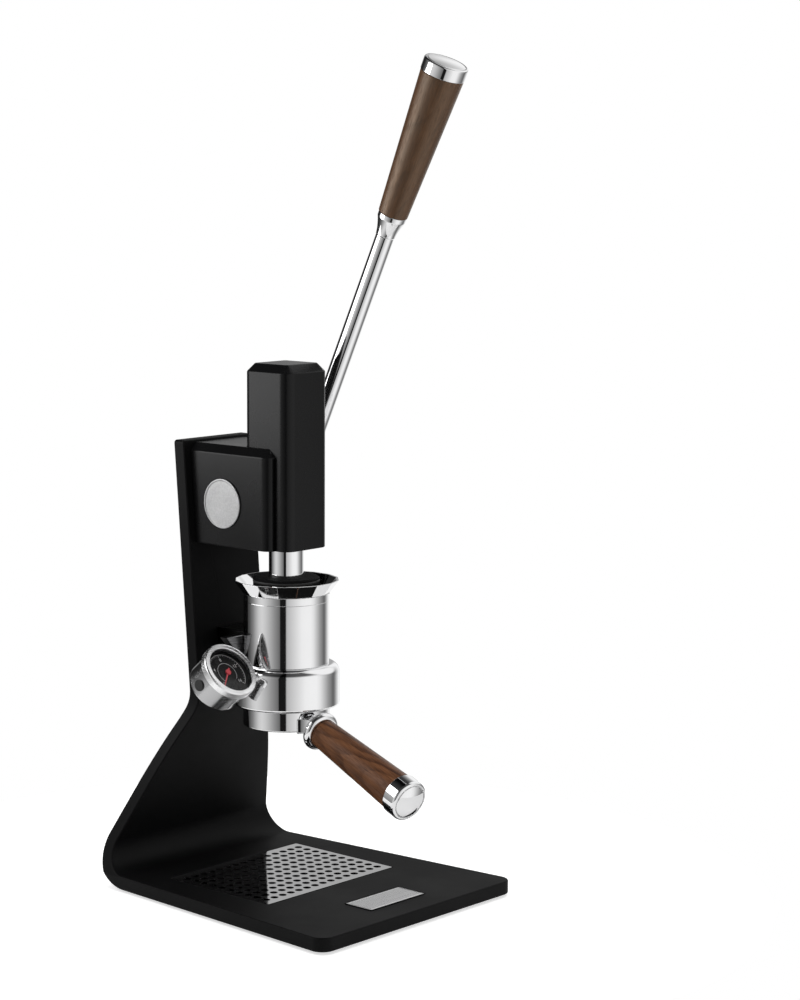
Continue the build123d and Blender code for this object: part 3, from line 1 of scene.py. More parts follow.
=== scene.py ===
"""Looks of a manual lever espresso maker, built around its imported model.

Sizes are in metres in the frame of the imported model: +Z is up, the user stands at -Y, the lever is on
the +X side and the pressure gauge on the -X side. Profiles are written in millimetres.
"""
import math

import bmesh
import bpy
import numpy as np
from bpy.props import FloatProperty, FloatVectorProperty, IntProperty, PointerProperty
from bpy.types import Operator, Panel, PropertyGroup
from mathutils import Matrix, Vector


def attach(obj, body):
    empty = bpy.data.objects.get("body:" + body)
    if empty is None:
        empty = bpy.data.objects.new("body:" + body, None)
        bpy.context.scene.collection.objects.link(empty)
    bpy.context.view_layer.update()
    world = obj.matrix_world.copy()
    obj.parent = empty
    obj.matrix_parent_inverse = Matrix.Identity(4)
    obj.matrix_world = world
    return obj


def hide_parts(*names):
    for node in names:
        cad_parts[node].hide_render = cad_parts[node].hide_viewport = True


bl_info = {
    "name": "Lever espresso maker",
    "version": (1, 0, 0),
    "blender": (4, 5, 0),
    "location": "View3D > Sidebar > Espresso",
    "description": "Builds the finished pieces, materials and studio of a lever espresso maker",
    "category": "Object",
}

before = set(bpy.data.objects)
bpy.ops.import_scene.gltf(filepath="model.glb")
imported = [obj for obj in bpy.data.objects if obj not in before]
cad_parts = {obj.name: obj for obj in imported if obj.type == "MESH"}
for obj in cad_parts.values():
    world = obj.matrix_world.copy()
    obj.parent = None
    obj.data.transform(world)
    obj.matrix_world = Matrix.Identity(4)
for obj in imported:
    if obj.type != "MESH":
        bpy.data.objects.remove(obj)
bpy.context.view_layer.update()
MM = 0.001
ACROSS = np.array([1.0, 0.0, 0.0])
UP = np.array([0.0, 0.0, 1.0])

# Upright edges longer than this count as long
LONG_EDGE = 20.0 * MM

# Points nearer than this are one point, and faces flatter than this are one face
MERGE_REACH = 2e-6
FLAT_ANGLE = math.radians(0.2)

# Radii under this lie on the axis
ON_AXIS = 1e-7

# Least radius of a plate's corners, in millimetres
LEAST_CORNER = 0.2

# Steps across a bevelled edge
BEVEL_STEPS = 4

# Middle of the lever's shaft, which runs across
PIVOT = np.array([0.0, 42.0, 340.0]) * MM

# Axis of the lever, from the shaft's axis towards the grip
LEVER_LEAN = math.radians(24.9)
LEVER_FOOT = PIVOT + 54.0 * MM * ACROSS
LEVER_AXIS = np.array([0.0, -math.sin(LEVER_LEAN), math.cos(LEVER_LEAN)])

# Axis of the portafilter's handle, from the brew axis towards the end cap
HANDLE_YAW = math.radians(8.4)
HANDLE_DROOP = math.radians(18.45)
HANDLE_FOOT = np.array([0.0, 0.0, 165.0]) * MM
HANDLE_ACROSS = np.array([math.cos(HANDLE_YAW), -math.sin(HANDLE_YAW), 0.0])
HANDLE_AXIS = np.array([
    -math.sin(HANDLE_YAW) * math.cos(HANDLE_DROOP),
    -math.cos(HANDLE_YAW) * math.cos(HANDLE_DROOP),
    -math.sin(HANDLE_DROOP),
])

# Axis of the pressure gauge, from the middle of its glass outwards
GAUGE_TILT = math.radians(40.6)
GAUGE_FOOT = np.array([-71.0, -2.0, 205.6]) * MM
GAUGE_AXIS = np.array([0.0, -math.cos(GAUGE_TILT), math.sin(GAUGE_TILT)])


class MakerFinishes(PropertyGroup):
    """Colours of the finishes."""

    powder_coat: FloatVectorProperty(
        name="Powder coat", description="Colour of the block and tower", subtype="COLOR",
        default=(0.0045, 0.0045, 0.0048), min=0.0, max=1.0)
    plate_coat: FloatVectorProperty(
        name="Plate coat", description="Colour of the bent plate", subtype="COLOR",
        default=(0.003, 0.003, 0.0032), min=0.0, max=1.0)
    chrome: FloatVectorProperty(
        name="Chrome", description="Tint of the polished chrome", subtype="COLOR",
        default=(0.86, 0.86, 0.865), min=0.0, max=1.0)
    walnut_light: FloatVectorProperty(
        name="Walnut, light", description="Early wood between the grain lines", subtype="COLOR",
        default=(0.158, 0.066, 0.029), min=0.0, max=1.0)
    walnut_dark: FloatVectorProperty(
        name="Walnut, dark", description="Late wood in the grain lines", subtype="COLOR",
        default=(0.042, 0.016, 0.008), min=0.0, max=1.0)
    lever_light: FloatVectorProperty(
        name="Lever wood, light", description="Early wood of the lever's grip", subtype="COLOR",
        default=(0.1, 0.047, 0.021), min=0.0, max=1.0)
    lever_dark: FloatVectorProperty(
        name="Lever wood, dark", description="Late wood of the lever's grip", subtype="COLOR",
        default=(0.028, 0.012, 0.0055), min=0.0, max=1.0)
    needle: FloatVectorProperty(
        name="Needle", description="Paint of the gauge's needle", subtype="COLOR",
        default=(0.62, 0.06, 0.075), min=0.0, max=1.0)
    rubber: FloatVectorProperty(
        name="Rubber", description="Pad, seals and plug", subtype="COLOR",
        default=(0.018, 0.018, 0.018), min=0.0, max=1.0)
    bronze: FloatVectorProperty(
        name="Bronze", description="Bushes and gauge movement", subtype="COLOR",
        default=(0.58, 0.38, 0.19), min=0.0, max=1.0)


class MakerSizes(PropertyGroup):
    """Sizes of the pieces that are shaped here."""

    plate_edge: FloatProperty(
        name="Plate edge", description="Rounding of the bent plate's edges", unit="LENGTH", default=1.3 * MM)
    block_edge: FloatProperty(
        name="Block edge", description="Rounding of the press head's edges", unit="LENGTH", default=0.7 * MM)
    tall_edge: FloatProperty(
        name="Tall edge", description="Rounding of the press head's upright edges", unit="LENGTH",
        default=3.2 * MM)
    neck_edge: FloatProperty(
        name="Neck edge", description="Rounding of the handle neck's edges", unit="LENGTH", default=1.0 * MM)
    dial_ticks: IntProperty(
        name="Dial ticks", description="Scale marks on the gauge's dial", default=33, min=2)
    round_steps: IntProperty(
        name="Round steps", description="Points round a turned piece", default=160, min=16)


class MakerStage(PropertyGroup):
    """Camera and studio light."""

    camera_place: FloatVectorProperty(
        name="Camera", description="Place of the camera", subtype="TRANSLATION",
        default=(-1.61762, -1.53174, 0.64022))
    camera_yaw: FloatProperty(
        name="Yaw", description="Turn of the camera about the vertical", subtype="ANGLE",
        default=math.radians(-47.0))
    camera_pitch: FloatProperty(
        name="Pitch", description="Tilt of the camera below the horizon", subtype="ANGLE",
        default=math.radians(7.63))
    lens: FloatProperty(
        name="Lens", description="Focal length", subtype="DISTANCE_CAMERA", default=94.3)
    shift: FloatVectorProperty(
        name="Shift", description="Shift of the lens as a share of the frame", size=2, default=(0.094, 0.002))
    softbox: FloatProperty(
        name="Softboxes", description="Factor on the brightness of the studio round the horizon", default=1.0)
    lamp: FloatProperty(
        name="Lamp", description="Power of the overhead lamp", subtype="POWER", default=18.0)
    card: FloatProperty(
        name="Card", description="Power of the soft card on the gauge's side", subtype="POWER", default=2.4)
    card_place: FloatVectorProperty(
        name="Card place", description="Middle of the soft card", subtype="TRANSLATION",
        default=(-0.46, 0.43, 0.55))


def unit(vector):
    """The vector divided by its length."""
    return vector / np.linalg.norm(vector, axis=-1, keepdims=True)


def rounded(points, radii, steps=7, lead=0.3):
    """Round every inner corner of an open line of (radius, height) points, in millimetres.

    A corner becomes the circular arc that touches both of its sides. One more point lies a short lead
    beyond each end of the arc, so that the shading of a long side stays even."""
    line = np.asarray(points, float)
    corner = line[1:-1]
    before = unit(line[:-2] - corner)
    after = unit(line[2:] - corner)
    radius = np.broadcast_to(np.asarray(radii, float), len(corner))
    half = np.arccos(np.clip((before * after).sum(1), -1, 1)) / 2
    reach = (radius / np.tan(half))[:, None]
    centre = corner + unit(before + after) * (radius / np.sin(half))[:, None]
    sweep = (np.pi - 2 * half)[:, None]
    first = corner + before * reach - centre
    last = corner + after * reach - centre
    side = (last - first * np.cos(sweep)) / np.sin(sweep)
    turn = np.linspace(0, 1, steps)[None, :, None] * sweep[:, None]
    arc = centre[:, None] + first[:, None] * np.cos(turn) + side[:, None] * np.sin(turn)
    lead_in = (corner + before * (reach + lead))[:, None]
    lead_out = (corner + after * (reach + lead))[:, None]
    body = np.concatenate([lead_in, arc, lead_out], axis=1).reshape(-1, 2)
    return np.concatenate([line[:1], body, line[-1:]])


def rounded_loop(points, radii, steps=7, lead=0.3):
    """Round every corner of a closed line of (radius, height) points."""
    line = np.asarray(points, float)
    return rounded(np.vstack([line[-1:], line, line[:1]]), radii, steps, lead)[1:-1]


def grid_faces(rows, columns, wrap_rows):
    """Quads of a grid of points whose columns close on themselves, and whose rows may."""
    row = np.arange(rows if wrap_rows else rows - 1)[:, None]
    column = np.arange(columns)[None, :]
    below = row * columns
    above = ((row + 1) % rows) * columns
    ahead = (column + 1) % columns
    return np.stack([below + column, below + ahead, above + ahead, above + column], axis=-1).reshape(-1, 4)


def spun(profile, foot, axis, across, count):
    """Turned piece: every profile point (radius, height) sweeps a circle of that radius about the axis.

    A profile that starts and ends on the axis is closed by a fan at each pole, any other one is a ring."""
    radius, height = np.asarray(profile, float).T * MM
    turn = np.linspace(0, 2 * np.pi, count, endpoint=False)
    ring = np.outer(np.cos(turn), across) + np.outer(np.sin(turn), np.cross(axis, across))
    points = foot + height[:, None, None] * axis + radius[:, None, None] * ring
    if radius[0] > ON_AXIS:
        return points.reshape(-1, 3), [grid_faces(len(radius), count, True)]
    inner = points[1:-1]
    rows = len(inner)
    verts = np.concatenate([inner.reshape(-1, 3), points[0, :1], points[-1, :1]])
    here = np.arange(count)
    ahead = (here + 1) % count
    start = np.stack([ahead, here, np.full(count, rows * count)], axis=-1)
    base = (rows - 1) * count
    end = np.stack([base + here, base + ahead, np.full(count, rows * count + 1)], axis=-1)
    return verts, [grid_faces(rows, count, False), start, end]


def plate(middle, half, corner, steps, levels):
    """Flat plate with round corners: at each level (inset, height) a rounded rectangle, whose four quarter
    circles are drawn in by the inset, is one ring, and the first and last rings are closed by a fan."""
    inset, height = np.asarray(levels, float).T[:, :, None]
    turn = (np.arange(4)[:, None] + np.linspace(0, 1, steps)).ravel() * np.pi / 2
    side = np.repeat([(1, 1), (-1, 1), (-1, -1), (1, -1)], steps, axis=0).T
    radius = np.maximum(corner - inset, LEAST_CORNER)
    across = side[0] * (half[0] - inset - radius) + radius * np.cos(turn)
    ahead = side[1] * (half[1] - inset - radius) + radius * np.sin(turn)
    rings = np.stack([across, ahead, height + 0 * across], axis=-1)
    count = 4 * steps
    here = np.arange(count)
    after = (here + 1) % count
    first = len(levels) * count
    centres = np.array([(0, 0, levels[0][1]), (0, 0, levels[-1][1])], float)
    verts = (np.concatenate([rings.reshape(-1, 3), centres]) + (*middle, 0)) * MM
    under = np.stack([after, here, np.full(count, first)], axis=-1)
    over = np.stack([first - count + here, first - count + after, np.full(count, first + 1)], axis=-1)
    return verts, [grid_faces(len(levels), count, False), under, over]


def joined(*parts):
    """Several point and face sets as one."""
    verts, faces, start = [], [], 0
    for points, sets in parts:
        verts.append(points)
        faces.extend(face + start for face in sets)
        start += len(points)
    return np.concatenate(verts), faces


def volume(verts, faces):
    """Signed volume inside a closed surface: the sum of the tetrahedra from the origin to each triangle."""
    total = 0.0
    for face in faces:
        for last in range(2, face.shape[1]):
            a, b, c = verts[face[:, 0]], verts[face[:, last - 1]], verts[face[:, last]]
            total += np.einsum("ij,ij->i", a, np.cross(b, c)).sum() / 6
    return total


def settle(thing, body, nodes, surface):
    """Give a finished object its material, its body and the model nodes that it stands for."""
    thing.data.materials.clear()
    thing.data.materials.append(surface)
    bpy.context.scene.collection.objects.link(thing)
    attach(thing, body)
    if nodes:
        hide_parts(*nodes)


def piece(name, shape, surface, body, slot, *nodes):
    """Make a mesh object from points and faces, with its faces turned outwards."""
    verts, faces = shape
    if volume(verts, faces) < 0:
        faces = [face[:, ::-1] for face in faces]
    mesh = bpy.data.meshes.new(name)
    mesh.from_pydata(verts.tolist(), [], [row for face in faces for row in face.tolist()])
    mesh.polygons.foreach_set("use_smooth", np.ones(len(mesh.polygons), bool))
    mesh.update()
    settle(bpy.data.objects.new(name, mesh), body, nodes, surface)


def softened(node, name, edge, surface, body, angle=25.0, upright=0.0):
    """Copy of a model node whose sharp edges are rounded by a bevel: its points are merged, and its flat
    faces joined, before the bevel. Long upright edges may have a wider rounding of their own."""
    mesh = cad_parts[node].data.copy()
    mesh.name = name
    work = bmesh.new()
    work.from_mesh(mesh)
    bmesh.ops.remove_doubles(work, verts=work.verts, dist=MERGE_REACH)
    bmesh.ops.dissolve_limit(work, angle_limit=FLAT_ANGLE, verts=work.verts, edges=work.edges)
    width = max(edge, upright)
    share = work.edges.layers.float.new("bevel_weight_edge")
    for side in work.edges:
        if side.calc_face_angle(0.0) > math.radians(angle):
            rise = abs(side.verts[1].co.z - side.verts[0].co.z)
            side[share] = upright / width if upright and rise > LONG_EDGE else edge / width
    work.to_mesh(mesh)
    work.free()
    for marks in ("custom_normal", "sharp_edge", "sharp_face"):
        old = mesh.attributes.get(marks)
        if old:
            mesh.attributes.remove(old)
    mesh.polygons.foreach_set("use_smooth", np.ones(len(mesh.polygons), bool))
    mesh.update()
    thing = bpy.data.objects.new(name, mesh)
    bevel = thing.modifiers.new("edges", "BEVEL")
    bevel.width = width
    bevel.segments = BEVEL_STEPS
    bevel.limit_method = "WEIGHT"
    bevel.harden_normals = True
    bevel.use_clamp_overlap = False
    settle(thing, body, [node], surface)


def shade(tree, kind, inputs=None, **settings):
    """Add a shader node, set its properties, and give each input a value or the output that feeds it."""
    added = tree.nodes.new(kind if kind.startswith("NodeGroup") else "ShaderNode" + kind)
    for name, value in settings.items():
        setattr(added, name, value)
    for name, value in (inputs or {}).items():
        if isinstance(value, bpy.types.NodeSocket):
            tree.links.new(value, added.inputs[name])
        else:
            added.inputs[name].default_value = value
    return added


def sums(tree, operation, first, second=0.0, third=0.0):
    """One step of arithmetic on shader values."""
    return shade(tree, "Math", {0: first, 1: second, 2: third}, operation=operation).outputs[0]


def spread(tree, value, low, high, to_low, to_high):
    """A value carried smoothly from one range to another."""
    limits = {"Value": value, "From Min": low, "From Max": high, "To Min": to_low, "To Max": to_high}
    return shade(tree, "MapRange", limits, interpolation_type="SMOOTHSTEP").outputs[0]


def scaled(tree, vector, factors):
    """A vector times three factors."""
    return shade(tree, "VectorMath", {0: vector, 1: factors}, operation="MULTIPLY").outputs[0]


def cloud(tree, vector, scale, detail=2.0):
    """Cloudy noise from 0 to 1."""
    return shade(tree, "TexNoise", {"Vector": vector, "Scale": scale, "Detail": detail}).outputs["Fac"]


def tinted(tree, colour, factor):
    """A colour made lighter or darker by a factor."""
    return shade(tree, "VectorMath", {0: colour, "Scale": factor}, operation="SCALE").outputs[0]


def mixed(tree, factor, first, second):
    """A colour between two colours."""
    mix = shade(tree, "Mix", {0: factor, 6: first, 7: second}, data_type="RGBA")
    return mix.outputs[2]


def effect(name, inputs):
    """Empty shader node group that puts out a colour, a roughness and a height."""
    tree = bpy.data.node_groups.new(name, "ShaderNodeTree")
    kinds = {"Vector": "NodeSocketVector", "Colour": "NodeSocketColor", "Dark": "NodeSocketColor"}
    for label in ("Vector", "Colour", *inputs):
        tree.interface.new_socket(label, in_out="INPUT", socket_type=kinds.get(label, "NodeSocketFloat"))
    for label, kind in (("Colour", "Color"), ("Roughness", "Float"), ("Height", "Float")):
        tree.interface.new_socket(label, in_out="OUTPUT", socket_type="NodeSocket" + kind)
    return tree, tree.nodes.new("NodeGroupInput").outputs


def put_out(tree, colour, roughness, height):
    """Close a shader node group."""
    shade(tree, "NodeGroupOutput", {"Colour": colour, "Roughness": roughness, "Height": height})
    return tree


def powder_grain():
    """Powder coat: fine orange peel in the height, and slow drifts of the tone and the gloss."""
    tree, given = effect("Powder grain", ["Gloss", "Grain"])
    drift = cloud(tree, given["Vector"], 14.0, 3.0)
    peel = cloud(tree, given["Vector"], given["Grain"], 2.0)
    tone = sums(tree, "MULTIPLY", spread(tree, drift, 0.3, 0.7, 0.88, 1.12),
                spread(tree, peel, 0.3, 0.7, 0.9, 1.1))
    gloss = sums(tree, "MULTIPLY", given["Gloss"], spread(tree, drift, 0.3, 0.7, 0.94, 1.08))
    return put_out(tree, tinted(tree, given["Colour"], tone), gloss, peel)


def polish():
    """Polished metal: faint cloudy smudges and fine rubbing lines in the gloss."""
    tree, given = effect("Polish", ["Gloss"])
    smudge = cloud(tree, given["Vector"], 26.0, 4.0)
    rubbed = cloud(tree, scaled(tree, given["Vector"], (90.0, 90.0, 1900.0)), 1.0, 1.0)
    gloss = sums(tree, "MULTIPLY", given["Gloss"], spread(tree, smudge, 0.35, 0.75, 0.75, 1.5))
    gloss = sums(tree, "MULTIPLY", gloss, spread(tree, rubbed, 0.3, 0.8, 0.85, 1.3))
    tone = spread(tree, smudge, 0.3, 0.8, 1.0, 0.97)
    return put_out(tree, tinted(tree, given["Colour"], tone), gloss, rubbed)


def brushed():
    """Brushed metal: long fine scratches along the first direction of the vector."""
    tree, given = effect("Brushed", ["Gloss"])
    fine = cloud(tree, scaled(tree, given["Vector"], (60.0, 5200.0, 5200.0)), 1.0, 2.0)
    broad = cloud(tree, scaled(tree, given["Vector"], (14.0, 900.0, 900.0)), 1.0, 2.0)
    both = sums(tree, "ADD", sums(tree, "MULTIPLY", fine, 0.6), sums(tree, "MULTIPLY", broad, 0.4))
    gloss = sums(tree, "MULTIPLY", given["Gloss"], spread(tree, both, 0.35, 0.65, 0.85, 1.2))
    tone = spread(tree, both, 0.35, 0.65, 0.9, 1.06)
    return put_out(tree, tinted(tree, given["Colour"], tone), gloss, both)


def walnut_figure():
    """Walnut: growth rings about a pith that leans off the axis, so that they arch along the grip, with
    fibres and short dark pores drawn out along the third direction of the vector."""
    tree, given = effect("Walnut figure", ["Dark", "Gloss", "Ring", "Figure"])
    warp = shade(tree, "TexNoise", {"Vector": scaled(tree, given["Vector"], (1.0, 1.0, 0.22)),
                                    "Scale": 42.0, "Detail": 3.0}).outputs["Color"]
    warp = shade(tree, "VectorMath", {0: warp, 1: (0.5, 0.5, 0.5)}, operation="SUBTRACT").outputs[0]
    bent = shade(tree, "VectorMath", {0: scaled(tree, warp, (0.013, 0.013, 0.0)), 1: given["Vector"]},
                 operation="ADD").outputs[0]
    leaned = shade(tree, "Mapping", {"Vector": bent, "Location": (-0.021, 0.012, 0.0),
                                     "Rotation": (math.radians(3.0), math.radians(-7.5), 0.0)}).outputs[0]
    from_pith = scaled(tree, leaned, (1.0, 1.0, 0.0))
    reach = shade(tree, "VectorMath", {0: from_pith}, operation="LENGTH").outputs["Value"]
    count = sums(tree, "DIVIDE", reach, given["Ring"])
    late = sums(tree, "FRACT", count)
    line = sums(tree, "MULTIPLY", spread(tree, late, 0.2, 0.86, 0.0, 1.0),
                spread(tree, late, 0.9, 1.0, 1.0, 0.0))
    whole = sums(tree, "FLOOR", count)
    year = shade(tree, "TexWhiteNoise", {"W": whole}, noise_dimensions="1D").outputs["Value"]
    line = sums(tree, "MULTIPLY", line, spread(tree, year, 0.0, 1.0, 0.35, 1.0))
    fibre = cloud(tree, scaled(tree, given["Vector"], (1500.0, 1500.0, 34.0)), 1.0, 3.0)
    patch = cloud(tree, scaled(tree, given["Vector"], (95.0, 95.0, 9.0)), 1.0, 3.0)
    speck = cloud(tree, scaled(tree, given["Vector"], (2300.0, 2300.0, 95.0)), 1.0, 0.0)
    pore = spread(tree, speck, 0.6, 0.72, 0.0, 1.0)
    darkness = sums(tree, "ADD", sums(tree, "MULTIPLY", line, given["Figure"]),
                    spread(tree, patch, 0.35, 0.7, -0.1, 0.42))
    darkness = sums(tree, "ADD", darkness, sums(tree, "MULTIPLY", pore, 0.3))
    colour = mixed(tree, darkness, given["Colour"], given["Dark"])
    colour = tinted(tree, colour, spread(tree, fibre, 0.3, 0.7, 0.78, 1.24))
    gloss = sums(tree, "ADD", given["Gloss"], sums(tree, "MULTIPLY", pore, 0.2))
    height = sums(tree, "SUBTRACT", fibre, pore)
    return put_out(tree, colour, gloss, height)


def finish(name):
    """A finish that has been built, by its short name."""
    return bpy.data.materials[name + "_finish"]


def dressed(name, group, values, bump, place=None, **fixed):
    """Material whose colour, roughness and relief come from a node group on the object's coordinates. Place
    is the (location, rotation) of the group's own axes, bump is the (strength, depth) of the relief."""
    made = bpy.data.materials.new(name + "_finish")
    made.use_nodes = True
    tree = made.node_tree
    shader = tree.nodes["Principled BSDF"]
    vector = shade(tree, "TexCoord").outputs["Object"]
    if place:
        axes = {"Vector": vector, "Location": place[0], "Rotation": place[1]}
        vector = shade(tree, "Mapping", axes, vector_type="TEXTURE").outputs[0]
    surface = shade(tree, "Group", {"Vector": vector, **values}, node_tree=group).outputs
    tree.links.new(surface["Colour"], shader.inputs["Base Color"])
    tree.links.new(surface["Roughness"], shader.inputs["Roughness"])
    relief = shade(tree, "Bump", {"Height": surface["Height"], "Strength": bump[0], "Distance": bump[1]})
    tree.links.new(relief.outputs[0], shader.inputs["Normal"])
    for socket, value in fixed.items():
        shader.inputs[socket.replace("_", " ")].default_value = value
    return made


def front_only(made, coat):
    """Keep a material's colour on the faces that look to the front, and give the others a second, darker
    colour.
    """
    tree = made.node_tree
    base = tree.nodes["Principled BSDF"].inputs["Base Color"]
    way = shade(tree, "SeparateXYZ", {0: shade(tree, "NewGeometry").outputs["Normal"]}).outputs["Y"]
    front = spread(tree, way, -0.95, -0.8, 1.0, 0.0)
    tree.links.new(mixed(tree, front, coat, base.links[0].from_socket), base)


def along(foot, axis, across):
    """Location and rotation of axes whose third direction runs along a piece's axis."""
    turn = Matrix((across, np.cross(axis, across), axis)).transposed().to_euler()
    return tuple(foot), tuple(turn)


def opaque(colour):
    """A colour with full alpha."""
    return (*colour, 1.0)


def gauge_glass():
    """Clear coated glass: it bends light, reflects little, and lets shadow rays straight through."""
    made = bpy.data.materials.new("gauge_glass_finish")
    made.use_nodes = True
    tree = made.node_tree
    shader = tree.nodes["Principled BSDF"]
    shader.inputs["Transmission Weight"].default_value = 1.0
    shader.inputs["IOR"].default_value = 1.2
    vector = shade(tree, "TexCoord").outputs["Object"]
    haze = spread(tree, cloud(tree, vector, 90.0, 3.0), 0.4, 0.8, 0.0, 0.03)
    tree.links.new(haze, shader.inputs["Roughness"])
    clear = shade(tree, "BsdfTransparent").outputs[0]
    shadow = shade(tree, "LightPath").outputs["Is Shadow Ray"]
    pane = shade(tree, "MixShader", {0: shadow, 1: shader.outputs[0], 2: clear})
    tree.links.new(pane.outputs[0], tree.nodes["Material Output"].inputs["Surface"])


# Nodes of the imported model whose finish isn't that of their slot; the drip tray's near-black finish is
# painted shade under the grate
OWN_FINISH = {"gauge_housing": "housing", "drip_tray": "tray_painted_shade", "piston_head": "black_screw"}


class MAKER_OT_finishes(Operator):
    """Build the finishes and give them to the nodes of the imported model"""

    bl_idname = "maker.finishes"
    bl_label = "Finishes"

    def execute(self, context):
        given = context.scene.maker_finishes
        coat, metal, brush, wood = powder_grain(), polish(), brushed(), walnut_figure()
        black = {"Colour": opaque(given.powder_coat), "Gloss": 0.26, "Grain": 1500.0}
        dressed("powder_black", coat, black, (0.12, 0.00015), Specular_IOR_Level=0.2)
        matt = {"Colour": opaque(given.plate_coat), "Gloss": 0.5, "Grain": 1500.0}
        dressed("plate_black", coat, matt, (0.12, 0.00015), Specular_IOR_Level=0.1)
        shine = {"Colour": opaque(given.chrome), "Gloss": 0.045}
        dressed("chrome", metal, shine, (0.004, 0.0001), Metallic=1.0)
        steel = {"Colour": (0.86, 0.86, 0.865, 1.0), "Gloss": 0.07}
        dressed("polished_steel", metal, steel, (0.01, 0.0001), Metallic=1.0)
        satin = {"Colour": (0.9, 0.9, 0.905, 1.0), "Gloss": 0.3}
        dressed("satin_metal", brush, satin, (0.08, 0.0001), Metallic=1.0)
        badge = {"Colour": (0.4, 0.4, 0.402, 1.0), "Gloss": 0.4, "Grain": 900.0}
        dressed("badge", coat, badge, (0.3, 0.0003), Metallic=1.0)
        bezel = {"Colour": (0.95, 0.95, 0.955, 1.0), "Gloss": 0.3}
        dressed("bezel", metal, bezel, (0.01, 0.0001), Metallic=1.0)
        housing = {"Colour": (0.5, 0.5, 0.505, 1.0), "Gloss": 0.2}
        dressed("housing", metal, housing, (0.01, 0.0001), Metallic=1.0)
        grey = {"Colour": (0.2, 0.2, 0.203, 1.0), "Gloss": 0.3}
        # Bracket grey on the faces that look to the front and nearly black on all the others
        front_only(dressed("bracket_grey", brush, grey, (0.1, 0.0001), Metallic=1.0), (0.01, 0.01, 0.01, 1.0))
        gear = {"Colour": (0.45, 0.45, 0.46, 1.0), "Gloss": 0.3}
        dressed("gear_steel", brush, gear, (0.1, 0.0001), Metallic=1.0)
        bush = {"Colour": opaque(given.bronze), "Gloss": 0.3}
        dressed("bronze", brush, bush, (0.06, 0.0001), Metallic=1.0)
        screw = {"Colour": (0.006, 0.006, 0.0064, 1.0), "Gloss": 0.7, "Grain": 2600.0}
        dressed("black_screw", coat, screw, (0.1, 0.0001), Specular_IOR_Level=0.05)
        # Drip tray painted near black: painted shade under the grate, so that its holes look dark
        tray = {"Colour": (0.004, 0.004, 0.0042, 1.0), "Gloss": 0.6, "Grain": 1700.0}
        dressed("tray_painted_shade", coat, tray, (0.1, 0.0001), Specular_IOR_Level=0.1)
        rubber = {"Colour": opaque(given.rubber), "Gloss": 0.62, "Grain": 1900.0}
        dressed("rubber_black", coat, rubber, (0.2, 0.0002))
        dial = {"Colour": (0.006, 0.006, 0.0065, 1.0), "Gloss": 0.6, "Grain": 3000.0}
        dressed("dial_black", coat, dial, (0.05, 0.0001), Specular_IOR_Level=0.15)
        paint = {"Colour": opaque(given.needle), "Gloss": 0.35, "Grain": 2500.0}
        dressed("needle_red", coat, paint, (0.05, 0.0001))
        ink = {"Colour": (0.7, 0.7, 0.7, 1.0), "Gloss": 0.5, "Grain": 2500.0}
        dressed("dial_print", coat, ink, (0.05, 0.0001))
        lever = along(LEVER_FOOT, LEVER_AXIS, ACROSS)
        plain = {"Colour": opaque(given.lever_light), "Dark": opaque(given.lever_dark), "Gloss": 0.38,
                 "Ring": 0.0042, "Figure": 0.28}
        dressed("walnut_lever", wood, plain, (0.25, 0.0002), lever, Specular_IOR_Level=0.85,
                Specular_Tint=(1.0, 0.8, 0.62, 1.0))
        handle = along(HANDLE_FOOT, HANDLE_AXIS, HANDLE_ACROSS)
        arched = {"Colour": opaque(given.walnut_light), "Dark": opaque(given.walnut_dark), "Gloss": 0.36,
                  "Ring": 0.0045, "Figure": 0.62}
        dressed("walnut", wood, arched, (0.25, 0.0002), handle, Specular_IOR_Level=0.14)
        gauge_glass()
        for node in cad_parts.values():
            for place in node.material_slots:
                place.material = finish(place.material.name)
        for name, own in OWN_FINISH.items():
            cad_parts[name].material_slots[0].material = finish(own)
        return {"FINISHED"}


class MAKER_OT_plate(Operator):
    """Round the edges of the bent plate"""

    bl_idname = "maker.plate"
    bl_label = "Bent plate"

    def execute(self, context):
        sizes = context.scene.maker_sizes
        softened("frame_plate", "bent_plate", sizes.plate_edge, finish("plate_black"), "stand")
        return {"FINISHED"}


class MAKER_OT_press_head(Operator):
    """Round the edges of the block and of the tower that guides the plunger"""

    bl_idname = "maker.press_head"
    bl_label = "Press head"

    def execute(self, context):
        sizes = context.scene.maker_sizes
        edge, tall = sizes.block_edge, sizes.tall_edge
        softened("head_block", "press_block", edge, finish("powder_black"), "stand",
                 upright=tall)
        softened("tower_housing", "press_tower", edge, finish("powder_black"), "stand",
                 upright=tall)
        softened("group_bracket", "brew_bracket", edge, finish("bracket_grey"), "stand")
        return {"FINISHED"}


# Lever, in millimetres: radii, and places along its axis
ROD_RADIUS = 8.0
ROD_ENDS = (10.0, 406.0)
FERRULE_BORE = 8.05
FERRULE_LOW = 8.4
FERRULE_HIGH = 12.25
FERRULE_START = 253.0
FERRULE_FLARE = 16.0
FERRULE_END = 273.0
GRIP_BORE = 8.2
GRIP_LOW = 12.75
GRIP_HIGH = 18.75
KNOB_START = 400.0
KNOB_BORE_END = 406.4
KNOB_END = 411.8
KNOB_RADIUS = 19.2
KNOB_EDGE = 1.6
KNOB_GROOVE = 16.5
KNOB_RISE = 0.9

# Gap between a wooden grip and the metal at its ends
SEAM = 0.1


